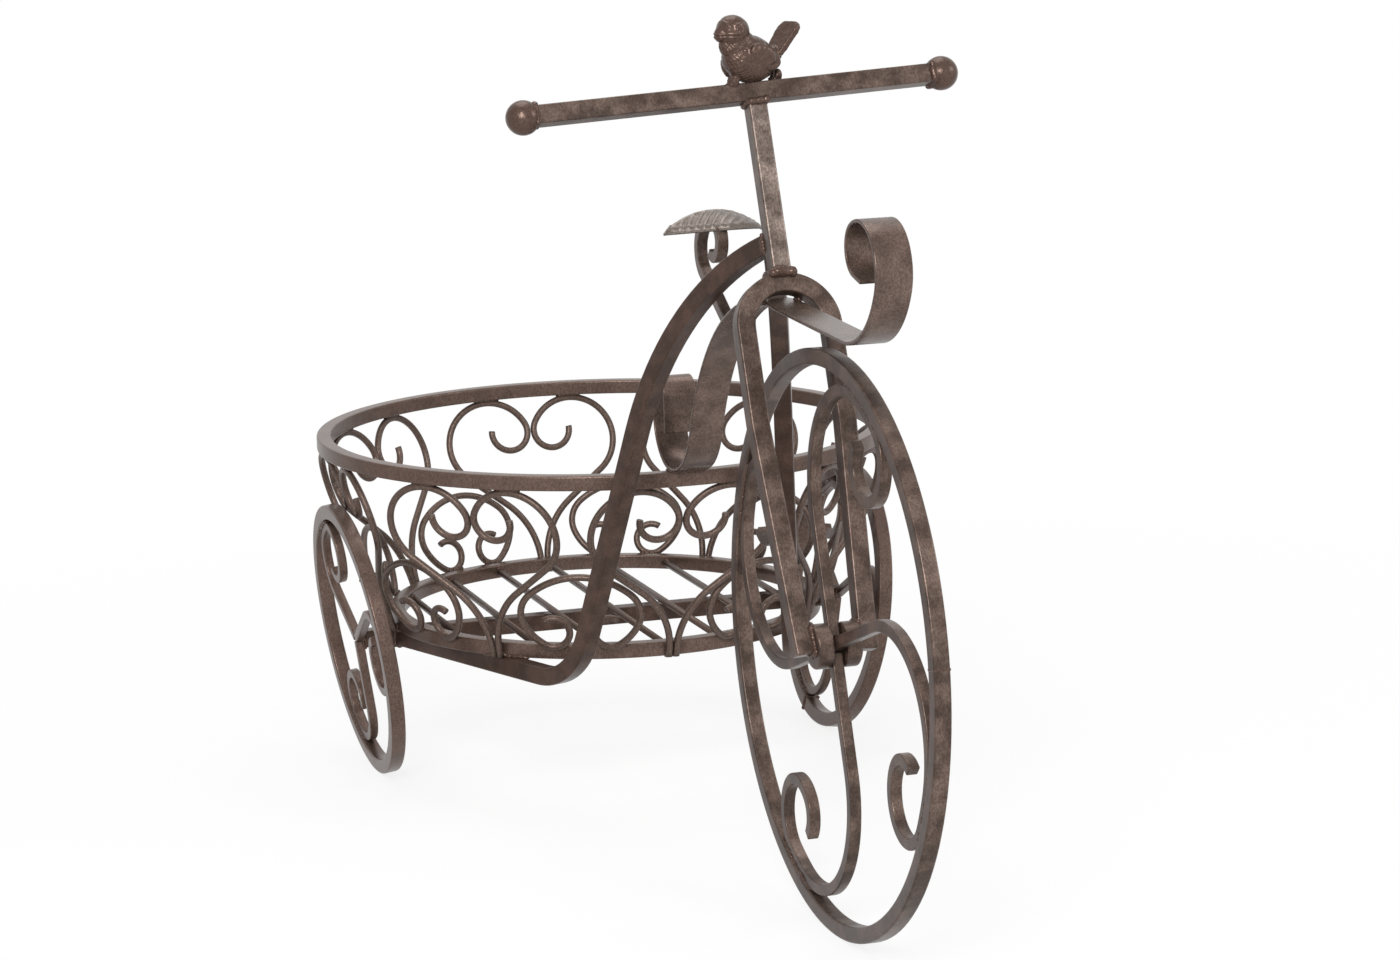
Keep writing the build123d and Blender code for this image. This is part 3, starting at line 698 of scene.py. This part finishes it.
def add_tail(mesh, perch):
    """Add the flat tail, which widens to a rounded end."""
    root = bird_point(perch, *TAIL_ROOT)
    along = bird_way(*TAIL_DIRECTION).normalized()
    across = bird_way(*TAIL_FLAT_SIDE).normalized()
    normal = along.cross(across)
    rings = []
    for step in range(TAIL_STEPS + 1):
        share = step / TAIL_STEPS
        width = TAIL_WIDTHS[0] + (TAIL_WIDTHS[1] - TAIL_WIDTHS[0]) * share
        if share > TAIL_ROUND_FROM:
            end_share = (share - TAIL_ROUND_FROM) / (1 - TAIL_ROUND_FROM)
            width *= sqrt(1 - end_share**2 * TAIL_ROUNDING)
        centre = root + along * TAIL_LENGTH * share * MM
        sideways = across * width / 2 * MM
        outward = normal * TAIL_THICKNESS / 2 * MM
        signs = ((-1, -1), (1, -1), (1, 1), (-1, 1))
        rings.append([mesh.verts.new(centre + sideways * a + outward * b) for a, b in signs])
    for first, second in zip(rings, rings[1:]):
        for index in range(4):
            after = (index + 1) % 4
            mesh.faces.new((first[index], first[after], second[after], second[index]))
    mesh.faces.new(reversed(rings[0]))
    mesh.faces.new(rings[-1])


def melt_together(mesh, voxel, rounds):
    """Remesh overlapping shapes into one skin and smooth it."""
    bmesh.ops.recalc_face_normals(mesh, faces=mesh.faces)
    data = bpy.data.meshes.new("melting")
    mesh.to_mesh(data)
    mesh.free()
    holder = linked_object("melting", data)
    remesh = holder.modifiers.new("one skin", "REMESH")
    remesh.mode = "VOXEL"
    remesh.voxel_size = voxel
    melted = baked(holder)
    relax(melted, rounds)
    return melted


def bell(distance, width):
    """Return a soft bump of height one."""
    return BELL_BASE ** -((distance / width) ** 2)


def limited(value):
    """Hold a value between nought and one."""
    return min(1.0, max(0.0, value))


def line_distance(point, start, end):
    """Return how far a flat point lies from a line, and how far along the line it is."""
    run = (end[0] - start[0], end[1] - start[1])
    length = run[0] ** 2 + run[1] ** 2
    share = limited(((point[0] - start[0]) * run[0] + (point[1] - start[1]) * run[1]) / length)
    aside = point[0] - start[0] - run[0] * share
    above = point[1] - start[1] - run[1] * share
    return sqrt(aside**2 + above**2), share


def ridge(distance, height, width):
    """Return the height of a soft ridge, or of a groove, at a distance from its line."""
    return height * bell(distance, width)


def bird_relief(forward, left, up):
    """Return how far the bird's skin stands out at a place, all in millimetres."""
    side = abs(left)
    place = (forward, up)
    height = ridge(line_distance(place, *BEAK_FOLD)[0], *BEAK_FOLD_RIDGE)
    if side > EYE_FROM_SIDE:
        eye = sqrt((forward - EYE[0]) ** 2 + (up - EYE[1]) ** 2)
        height += ridge(eye - EYE_RING, *EYE_RING_RIDGE) + ridge(eye, *EYE_HOLLOW_RIDGE)
        height += ridge(line_distance(place, *EYE_FOLD)[0], *EYE_FOLD_RIDGE)
    if forward > MOUTH_LINE[1][0]:
        mouth = line_distance(place, *MOUTH_LINE)[0]
        height += ridge(mouth - LIP_OFFSET, *LIP_RIDGE) + ridge(mouth, *MOUTH_RIDGE)
    if side > WING_FROM_SIDE and up < WING_BELOW and forward < WING_BEHIND:
        reach, along = line_distance(place, *WING_LINE)
        if reach < WING_REACH:
            rows = sin(along * FEATHER_ROWS + reach * FEATHER_SLANT)
            height += rows * ridge(reach, *FEATHER_RIDGE)
            height += ridge(reach - WING_RIM, *WING_RIM_RIDGE)
    if forward > DOWN_AHEAD and up < DOWN_BELOW and side < DOWN_WITHIN_SIDE:
        rows = sin(forward * DOWN_ROWS + DOWN_ROW_BEND * sin(up * DOWN_BEND_ROWS))
        height += DOWN_HEIGHT * rows * sin(up * DOWN_STEPS + left * DOWN_SKEW)
    return height


def make_bird():
    """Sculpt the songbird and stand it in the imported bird's place."""
    perch = bird_perch()
    mesh = bmesh.new()
    for place, direction, sizes in BIRD_FORMS.values():
        add_egg(mesh, perch, place, direction, sizes)
    add_tail(mesh, perch)
    add_egg(mesh, perch, *TAIL_COVERT)
    for place in FOOT_PLACES:
        for left, toe in FOOT_SIDES:
            fall = place * PERCH_SLOPE
            add_egg(mesh, perch, (place, left, SHIN_HEIGHT - fall), (0, 0, 1), SHIN_SIZES)
            add_egg(mesh, perch, (place + toe, left, TOE_HEIGHT - fall), (1, 0, 0), TOE_SIZES)
    skin = melt_together(mesh, BIRD_VOXEL, BIRD_RELAX_ROUNDS)
    skin.normal_update()
    highlighted_relief = skin.verts.layers.float.new("rolled_edge")
    moves = []
    for vert in skin.verts:
        offset = vert.co - perch
        place = [offset.dot(way) / MM for way in (BIRD_FORWARD, BIRD_LEFT, BIRD_UP)]
        lumps = sum(height * noise.noise(offset / size) for height, size in CAST_LUMPS)
        relief = bird_relief(*place)
        # Raised relief is marked for a painted highlight in the pale edge colour
        vert[highlighted_relief] = min(1.0, max(0.0, relief) / BIRD_HIGHLIGHT_RELIEF)
        moves.append(vert.normal * (relief + lumps) * MM)
    for vert, move in zip(skin.verts, moves):
        vert.co += move
    low, high = box_of("bird")
    for vert in skin.verts:
        vert.co.z = min(high.z, max(low.z, vert.co.z))
    piece = add_piece("songbird", skin, FRAME_BODY, CAST_PAINT)
    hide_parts("bird")


# Saddle: a cast leaf that lies across, its veins slanting to the tip
LEAF_LENGTH = 0.055
LEAF_WIDTH = 0.038
LEAF_TIP = 0.004
LEAF_THICKNESS = 0.0025
LEAF_END_FALL = 0.0105
LEAF_SIDE_FALL = 0.0072
LEAF_FALL_POWER = 2.2
LEAF_TOP_DROP = 0.0011
LEAF_UNDER_LIFT = 0.0008
LEAF_ROLL_SHARE = 0.07
LEAF_RIM_HEIGHT = 0.0005
LEAF_RIM_AT = 0.9
LEAF_RIM_SPREAD = 0.05
LEAF_HIGHLIGHT_RELIEF = 0.0008
LEAF_RINGS = 34
LEAF_SIDES = 168
HALVINGS = 30

# Veins in millimetres
MIDRIB_HEIGHT = 0.9
MIDRIB_SWAY = 0.8
MIDRIB_WAVES = 0.09
VEIN_NUMBERS = range(-5, 5)
VEIN_STEP = 5.6
VEIN_START = 1.5
VEIN_SLANT = 0.85
VEIN_HEIGHT = 0.75
VEIN_SPREAD = 0.95
VEIN_SWAY = 0.5
VEIN_WAVES = 0.4
VEIN_RISE = 3
VEIN_FADE = 0.12


def leaf_reach(angle):
    """Return how far the leaf's outline lies from its middle in a direction."""
    wide = LEAF_WIDTH / 2
    wide_x = LEAF_LENGTH / 2 - wide
    tip_x = LEAF_TIP - LEAF_LENGTH / 2
    slope = asin((wide - LEAF_TIP) / (wide_x - tip_x))
    direction = Vector((cos(angle), sin(angle)))
    low, high = 0.0, LEAF_LENGTH
    for _ in range(HALVINGS):
        reach = (low + high) / 2
        across, along = abs(direction.y * reach), direction.x * reach
        share = limited((along - tip_x + across * sin(slope) / cos(slope)) / (wide_x - tip_x))
        middle = tip_x + (wide_x - tip_x) * share
        radius = LEAF_TIP + (wide - LEAF_TIP) * share
        inside = sqrt((along - middle) ** 2 + across**2) < radius
        low, high = (reach, high) if inside else (low, reach)
    return low


def leaf_veins(along, across):
    """Return how high the veins stand, in metres, at a place of the leaf in millimetres."""
    side = abs(across)
    height = ridge(across - MIDRIB_SWAY * sin(along * MIDRIB_WAVES), MIDRIB_HEIGHT, 1.0)
    for number in VEIN_NUMBERS:
        root = number * VEIN_STEP + VEIN_START
        sway = VEIN_SWAY * sin(across * VEIN_WAVES + number)
        slant = along - root + side * VEIN_SLANT + sway
        height += ridge(slant, VEIN_HEIGHT, VEIN_SPREAD) * min(1.0, side / VEIN_RISE)
    return height * MM


def leaf_point(share, angle, outline, under):
    """Return a place on the leaf's top or under face, from its peak, and how high its veins are."""
    reach = outline * share
    along, across = reach * cos(angle), reach * sin(angle)
    edge = 1 - share
    bend = max(0.0, 1 - edge / LEAF_ROLL_SHARE)
    roll = LEAF_THICKNESS / 2 * (1 - sqrt(max(0.0, 1 - bend**2)))
    sideways = min(1.0, abs(outline * sin(angle)) / (LEAF_WIDTH / 2))
    deepest = LEAF_END_FALL + (LEAF_SIDE_FALL - LEAF_END_FALL) * sideways
    top = -LEAF_TOP_DROP - deepest * share**LEAF_FALL_POWER
    if under:
        return along, across, top - LEAF_THICKNESS + LEAF_UNDER_LIFT + roll, 0.0
    veins = leaf_veins(along / MM, across / MM) * min(1.0, edge / VEIN_FADE)
    rim = LEAF_RIM_HEIGHT * bell((share - LEAF_RIM_AT) / LEAF_RIM_SPREAD, 1.0)
    return along, across, top + veins + rim - roll, veins


def make_leaf():
    """Shape the leaf on its dome, with a rolled rim and raised veins."""
    low, high = box_of("saddle")
    middle = (low + high) / 2
    angles = [2 * pi * side / LEAF_SIDES for side in range(LEAF_SIDES)]
    outline = [leaf_reach(angle) for angle in angles]
    mesh = bmesh.new()
    highlighted_relief = mesh.verts.layers.float.new("rolled_edge")
    skins = []
    for under in (False, True):
        rings = []
        for ring in range(LEAF_RINGS + 1):
            row = []
            for side in range(LEAF_SIDES if ring else 1):
                place = leaf_point(ring / LEAF_RINGS, angles[side], outline[side], under)
                along, across, height, veins = place
                spot = (middle.x + along, middle.y + across, min(high.z + height, high.z))
                vert = mesh.verts.new(spot)
                # Raised veins are marked for a painted highlight in the pale edge colour
                vert[highlighted_relief] = min(1.0, veins / LEAF_HIGHLIGHT_RELIEF)
                row.append(vert)
            rings.append(row)
        skins.append(rings)
        for first, second in zip(rings, rings[1:]):
            for side in range(LEAF_SIDES):
                after = (side + 1) % LEAF_SIDES
                if len(first) == 1:
                    corners = (first[0], second[side], second[after])
                else:
                    corners = (first[side], second[side], second[after], first[after])
                mesh.faces.new(reversed(corners) if under else corners)
    top, bottom = skins[0][-1], skins[1][-1]
    for side in range(LEAF_SIDES):
        after = (side + 1) % LEAF_SIDES
        mesh.faces.new((top[side], bottom[side], bottom[after], top[after]))
    bmesh.ops.recalc_face_normals(mesh, faces=mesh.faces)
    piece = add_piece("saddle_leaf", mesh, FRAME_BODY, LEAF_PAINT)
    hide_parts("saddle")


# Weld beads: seeds lie in the corners where two bars meet, and one rule turns them into lumpy beads
SEED_STEP = 0.0007
SEED_NEAR = 0.0002
SEED_FAR = 0.0010
SHORTEST_SIDE = 1e-7
BEAD_VOXEL = 0.00055
BEAD_SPREAD = 0.3
BEAD_LUMPS = 0.0007
BEAD_WAVES = 520.0
BEAD_SPACING = 0.0010
BEAD_RADIUS = 0.00105
BEAD_RELAX_ROUNDS = 3
BEAD_SEED = 11
SEAM_REACH = 0.0004
SEAM_SIZE = 0.65
SEAM_SIZE_COARSE = 1.1
SEAM_SINK = 0.0004
SEAM_ANGLE_FRONT = radians(-7.5)
SEAM_ANGLE_LEFT = radians(-40)
SEAM_ANGLE_RIGHT = radians(108)
SKINS = {}


def skin_of(node_name):
    """Return a node's triangles and a tree that finds the nearest place on them."""
    if node_name not in SKINS:
        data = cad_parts[node_name].data
        data.calc_loop_triangles()
        points = [vert.co.copy() for vert in data.vertices]
        corners = [tuple(triangle.vertices) for triangle in data.loop_triangles]
        triangles = [[points[index] for index in triangle] for triangle in corners]
        SKINS[node_name] = triangles, BVHTree.FromPolygons(points, corners)
    return SKINS[node_name]


def spread_over(first, second, third, low, high):
    """Return evenly spread places on a triangle, within a box."""
    longest = max((second - first).length, (third - first).length, (third - second).length)
    if longest < SHORTEST_SIDE:
        return []
    height = (second - first).cross(third - first).length / longest
    rows = max(1, int(height / SEED_STEP + 1))
    columns = max(1, int(longest / SEED_STEP + 1))
    places = []
    ends = ((first, second, third), (second, third, first), (third, first, second))
    base = max(ends, key=lambda item: (item[1] - item[0]).length)
    for row in range(rows):
        up = (row + 0.5) / rows
        start = base[0].lerp(base[2], up)
        stop = base[1].lerp(base[2], up)
        for column in range(columns):
            place = start.lerp(stop, (column + 0.5) / columns)
            if all(low[axis] <= place[axis] <= high[axis] for axis in range(3)):
                places.append(place)
    return places


def outside(ends, low, high):
    """Tell whether a triangle lies wholly to one side of a box."""
    for axis in range(3):
        heights = [end[axis] for end in ends]
        if max(heights) < low[axis] or min(heights) > high[axis]:
            return True
    return False


def corner_seeds(carried, carrier, spacing):
    """Return places on one node that lie in the corner where it meets another."""
    tree = skin_of(carrier)[1]
    reach = Vector((SEED_FAR, SEED_FAR, SEED_FAR))
    low, high = box_of(carrier)
    low -= reach
    high += reach
    kept = []
    for ends in skin_of(carried)[0]:
        if outside(ends, low, high):
            continue
        for place in spread_over(*ends, low, high):
            found = tree.find_nearest(place, SEED_FAR)
            if found[0] is None or found[3] < SEED_NEAR:
                continue
            if all((place - other).length > spacing for other in kept):
                kept.append((place + found[0]) / 2)
    return kept


def make_bead_tree():
    """Build the rule that turns seeds into one lumpy bead skin."""
    tree = new_group(
        "weld_bead_rule",
        "GeometryNodeTree",
        [
            ("Geometry", "NodeSocketGeometry", None),
            ("Bead Radius", "NodeSocketFloat", BEAD_RADIUS),
            ("Radius Spread", "NodeSocketFloat", BEAD_SPREAD),
            ("Grain", "NodeSocketFloat", BEAD_VOXEL),
            ("Lump Height", "NodeSocketFloat", BEAD_LUMPS),
            ("Material", "NodeSocketMaterial", None),
            ("Seed", "NodeSocketInt", BEAD_SEED),
        ],
        [("Geometry", "NodeSocketGeometry")],
    )
    given = add_node(tree, "NodeGroupInput", "bead values")
    result = add_node(tree, "NodeGroupOutput", "bead skin")
    seeds = add_node(tree, "GeometryNodeMeshToPoints", "seeds")
    size = add_node(tree, "GeometryNodeInputNamedAttribute", "bead size", data_type="FLOAT")
    size.inputs["Name"].default_value = "bead_size"
    least = math_node(tree, "least radius", "SUBTRACT", 1.0, given.outputs["Radius Spread"])
    most = math_node(tree, "most radius", "ADD", 1.0, given.outputs["Radius Spread"])
    uneven = add_node(tree, "FunctionNodeRandomValue", "uneven radius", data_type="FLOAT")
    numbers = [socket for socket in uneven.inputs if socket.type == "VALUE"]
    tree.links.new(least, numbers[0])
    tree.links.new(most, numbers[1])
    tree.links.new(given.outputs["Seed"], uneven.inputs["Seed"])
    drawn = [socket for socket in uneven.outputs if socket.type == "VALUE"][0]
    radius = math_node(tree, "radius by chance", "MULTIPLY", given.outputs["Bead Radius"], drawn)
    radius = math_node(tree, "radius by bar", "MULTIPLY", radius, size.outputs["Attribute"])
    cloud = add_node(tree, "GeometryNodePointsToVolume", "melted metal")
    cloud.resolution_mode = "VOXEL_SIZE"
    skin = add_node(tree, "GeometryNodeVolumeToMesh", "bead skin", resolution_mode="GRID")
    normal = add_node(tree, "GeometryNodeInputNormal", "outward")
    waves = add_node(tree, "ShaderNodeTexNoise", "solidified waves")
    set_inputs(waves, Scale=BEAD_WAVES, Detail=2.0)
    swing = math_node(tree, "wave swing", "SUBTRACT", waves.outputs["Fac"], 0.5)
    swing = math_node(tree, "wave height", "MULTIPLY", swing, given.outputs["Lump Height"])
    push = add_node(tree, "ShaderNodeVectorMath", "push along the normal", operation="SCALE")
    move = add_node(tree, "GeometryNodeSetPosition", "wavy skin")
    smooth = add_node(tree, "GeometryNodeSetShadeSmooth", "smooth shading")
    real = add_node(tree, "GeometryNodeRealizeInstances", "plain mesh")
    paint = add_node(tree, "GeometryNodeSetMaterial", "painted")
    tree.links.new(given.outputs["Geometry"], seeds.inputs["Mesh"])
    tree.links.new(seeds.outputs["Points"], cloud.inputs["Points"])
    tree.links.new(radius, cloud.inputs["Radius"])
    tree.links.new(given.outputs["Grain"], cloud.inputs["Voxel Size"])
    tree.links.new(cloud.outputs["Volume"], skin.inputs["Volume"])
    tree.links.new(normal.outputs["Normal"], push.inputs[0])
    tree.links.new(swing, push.inputs["Scale"])
    tree.links.new(skin.outputs["Mesh"], move.inputs["Geometry"])
    tree.links.new(push.outputs["Vector"], move.inputs["Offset"])
    tree.links.new(move.outputs["Geometry"], smooth.inputs["Geometry"])
    tree.links.new(smooth.outputs["Geometry"], real.inputs["Geometry"])
    tree.links.new(real.outputs["Geometry"], paint.inputs["Geometry"])
    tree.links.new(given.outputs["Material"], paint.inputs["Material"])
    tree.links.new(paint.outputs["Geometry"], result.inputs["Geometry"])
    return tree


def run_rule(name, data, tree, values):
    """Run a geometry rule on a mesh and return the plain bmesh that it makes."""
    holder = linked_object(name + "_rule", data)
    rule = holder.modifiers.new("rule", "NODES")
    rule.node_group = tree
    for item in tree.interface.items_tree:
        if item.item_type == "SOCKET" and item.in_out == "INPUT" and item.name in values:
            rule[item.identifier] = values[item.name]
    return baked(holder)


def weld_seeds(joints):
    """Gather the seeds of many joints as (place, size)."""
    seeds = []
    for carried, carrier, size in joints:
        for place in corner_seeds(carried, carrier, BEAD_SPACING * size):
            seeds.append((place, size))
    return seeds


def seam_seeds(node_name, angle, size):
    """Return seeds round a rim's bar where its ends meet, at an angle below level in front."""
    low, high = box_of(node_name)
    middle = (low + high) / 2
    radial = Vector((0, -cos(angle), -sin(angle)))
    around = Vector((0, sin(angle), -cos(angle)))
    kept = []
    for ends in skin_of(node_name)[0]:
        heights = [(end - middle).dot(around) for end in ends]
        if min(heights) > SEAM_REACH or max(heights) < -SEAM_REACH:
            continue
        for place in spread_over(*ends, low, high):
            offset = place - middle
            if offset.dot(radial) < 0 or abs(offset.dot(around)) > SEAM_REACH:
                continue
            if all((place - other).length > SEAM_REACH for other in kept):
                kept.append(place)
    core = sum(kept, Vector()) / max(1, len(kept))
    return [(place + (core - place).normalized() * SEAM_SINK, size) for place in kept]


def make_welds(name, body, material, seeds):
    """Make the beads of one body from their seeds."""
    data = bpy.data.meshes.new(name + "_seeds")
    data.from_pydata([place for place, _ in seeds], [], [])
    sizes = data.attributes.new("bead_size", "FLOAT", "POINT")
    for index, (_, size) in enumerate(seeds):
        sizes.data[index].value = size
    values = {"Bead Radius": BEAD_RADIUS, "Material": material, "Seed": BEAD_SEED}
    mesh = run_rule(name, data, BEAD_RULE, values)
    relax(mesh, BEAD_RELAX_ROUNDS)
    bmesh.ops.recalc_face_normals(mesh, faces=mesh.faces)
    add_piece(name, mesh, body, material)


BEAD_RULE = make_bead_tree()

# Joints as (node that carries the beads, node that it meets, size of the beads)
FRAME_JOINTS = [
    ("steering_column", "fork", 2.6),
    ("steering_column", "handlebar", 1.9),
    ("handlebar", "handlebar_ball_left", 1.6),
    ("handlebar", "handlebar_ball_right", 1.6),
    ("frame_bar_left", "steering_column", 1.6),
    ("frame_bar_right", "steering_column", 1.6),
    ("strap_scroll", "fork", 1.2),
    ("strap_scroll", "basket_top_ring", 1.0),
    ("saddle_stem", "strap_scroll", 1.2),
    ("hub_sleeve_left", "fork", 1.5),
    ("hub_sleeve_right", "fork", 1.5),
    ("frame_bar_left", "rear_axle", 1.4),
    ("frame_bar_right", "rear_axle", 1.4),
    ("basket_bottom_ring", "frame_bar_left", 1.1),
    ("basket_bottom_ring", "frame_bar_right", 1.1),
    ("basket_bottom_ring", "rear_axle", 1.1),
]
for side in ("left", "right"):
    for name in nodes_named("rear_spoke_" + side):
        FRAME_JOINTS.append((name, "rear_axle", 1.2))
        FRAME_JOINTS.append((name, "rear_rim_" + side, 1.0))
for name in nodes_named("basket_heart"):
    FRAME_JOINTS.append((name, "basket_bottom_ring", 0.95))
    FRAME_JOINTS.append((name, "basket_top_ring", 0.95))
for name in nodes_named("basket_scroll"):
    FRAME_JOINTS.append((name, "basket_bottom_ring", 0.9))
for name in nodes_named("basket_floor_rod"):
    FRAME_JOINTS.append((name, "basket_bottom_ring", 0.9))
WHEEL_JOINTS = [(name, "front_wheel_rim", 1.1) for name in nodes_named("front_spoke")]
FRAME_SEEDS = weld_seeds(FRAME_JOINTS)
FRAME_SEEDS += seam_seeds("rear_rim_left", SEAM_ANGLE_LEFT, SEAM_SIZE)
FRAME_SEEDS += seam_seeds("rear_rim_right", SEAM_ANGLE_RIGHT, SEAM_SIZE_COARSE)
WHEEL_SEEDS = weld_seeds(WHEEL_JOINTS)
WHEEL_SEEDS += seam_seeds("front_wheel_rim", SEAM_ANGLE_FRONT, SEAM_SIZE)
make_welds("frame_weld_beads", FRAME_BODY, CAST_PAINT, FRAME_SEEDS)
make_welds("wheel_weld_beads", WHEEL_BODY, CAST_PAINT, WHEEL_SEEDS)
make_bird()
make_leaf()

# The set: glow and world ranges run as the paint contrasts do
FLOOR_HALF_WIDTH = 12.0
FLOOR_COLOUR = (0.95, 0.95, 0.95, 1)
GLOW_RANGE = (0.3, 1.0, 0.84, 1.0)
WORLD_RANGE = (0.0, 1.0, 0.42, 1.0)
WORLD_COLOUR = (1, 1, 1, 1)
CAMERA_END = 100.0

# Softboxes as (name, place, width, power); all look at one target
TARGET = (0.0, 0.0, 0.2)
SOFTBOXES = [
    ("key_softbox", (-1.1, -2.2, 1.5), 0.9, 52.0),
    ("fill_softbox", (1.9, -1.0, 1.2), 0.8, 10.0),
    ("top_softbox", (0.0, 0.6, 2.2), 1.4, 16.0),
]


def seen_at_all(tree):
    """Return a socket that is one where a surface is seen, reflected or seen through."""
    rays = add_node(tree, "ShaderNodeLightPath", "what the ray is").outputs
    seen = math_node(
        tree, "seen or reflected", "MAXIMUM", rays["Is Camera Ray"], rays["Is Glossy Ray"]
    )
    return math_node(tree, "or seen through", "MAXIMUM", seen, rays["Is Transmission Ray"])


def make_floor():
    """Lay a pale floor that shows white to the camera and keeps the tricycle's soft shadow."""
    mesh = bmesh.new()
    bmesh.ops.create_grid(mesh, x_segments=1, y_segments=1, size=FLOOR_HALF_WIDTH)
    data = bpy.data.meshes.new("studio_floor")
    mesh.to_mesh(data)
    mesh.free()
    floor = linked_object("studio_floor", data)
    material = bpy.data.materials.new("studio_floor_white")
    material.use_nodes = True
    tree = material.node_tree
    tree.nodes.clear()
    output = add_node(tree, "ShaderNodeOutputMaterial", "floor surface")
    diffuse = add_node(tree, "ShaderNodeBsdfDiffuse", "pale floor")
    diffuse.inputs["Color"].default_value = FLOOR_COLOUR
    glow = add_node(tree, "ShaderNodeEmission", "white to the camera")
    glow.inputs["Strength"].default_value = 1.0
    place = add_node(tree, "ShaderNodeTexCoord", "floor place").outputs["Object"]
    distance = add_node(tree, "ShaderNodeVectorMath", "from the middle", operation="LENGTH")
    tree.links.new(place, distance.inputs[0])
    whiter = remap(tree, "whiter further away", distance.outputs["Value"], *GLOW_RANGE)
    share = math_node(tree, "glow share", "MULTIPLY", seen_at_all(tree), whiter)
    mix = add_node(tree, "ShaderNodeMixShader", "floor and glow")
    tree.links.new(share, mix.inputs["Fac"])
    tree.links.new(diffuse.outputs["BSDF"], mix.inputs[1])
    tree.links.new(glow.outputs["Emission"], mix.inputs[2])
    tree.links.new(mix.outputs["Shader"], output.inputs["Surface"])
    data.materials.append(material)


def make_world():
    """Surround the set with soft light that is white to the camera."""
    world = bpy.data.worlds.new("studio_world")
    world.use_nodes = True
    bpy.context.scene.world = world
    tree = world.node_tree
    background = tree.nodes["Background"]
    background.inputs["Color"].default_value = WORLD_COLOUR
    strength = remap(tree, "white when seen", seen_at_all(tree), *WORLD_RANGE)
    tree.links.new(strength, background.inputs["Strength"])


def add_softbox(name, place, width, power):
    """Hang a square soft light that looks at the target."""
    light = bpy.data.lights.new(name, "AREA")
    light.energy = power
    light.shape = "SQUARE"
    light.size = width
    box = linked_object(name, light)
    box.location = place
    box.rotation_euler = (Vector(TARGET) - Vector(place)).to_track_quat("-Z", "Y").to_euler()


def make_camera():
    """Set the camera at the photograph's place and angle."""
    forward = Vector(
        (
            -sin(CAMERA_YAW) * cos(CAMERA_PITCH),
            cos(CAMERA_YAW) * cos(CAMERA_PITCH),
            -sin(CAMERA_PITCH),
        )
    )
    level_right = Vector((cos(CAMERA_YAW), sin(CAMERA_YAW), 0))
    level_up = level_right.cross(forward)
    right = level_right * cos(CAMERA_ROLL) + level_up * sin(CAMERA_ROLL)
    up = level_up * cos(CAMERA_ROLL) - level_right * sin(CAMERA_ROLL)
    data = bpy.data.cameras.new("photo_camera")
    data.sensor_width = SENSOR
    data.lens = FOCAL_PIXELS / PICTURE_WIDTH * SENSOR
    data.shift_x = (PICTURE_WIDTH / 2 - PRINCIPAL_X) / PICTURE_WIDTH
    data.shift_y = (PRINCIPAL_Y - PICTURE_HEIGHT / 2) / PICTURE_WIDTH
    data.clip_end = CAMERA_END
    camera = linked_object("photo_camera", data)
    turn = Matrix((right, up, -forward)).transposed().to_4x4()
    camera.matrix_world = Matrix.Translation(CAMERA_PLACE) @ turn
    bpy.context.scene.camera = camera


make_floor()
make_world()
make_camera()
for softbox in SOFTBOXES:
    add_softbox(*softbox)
bpy.context.scene.view_settings.view_transform = "Standard"
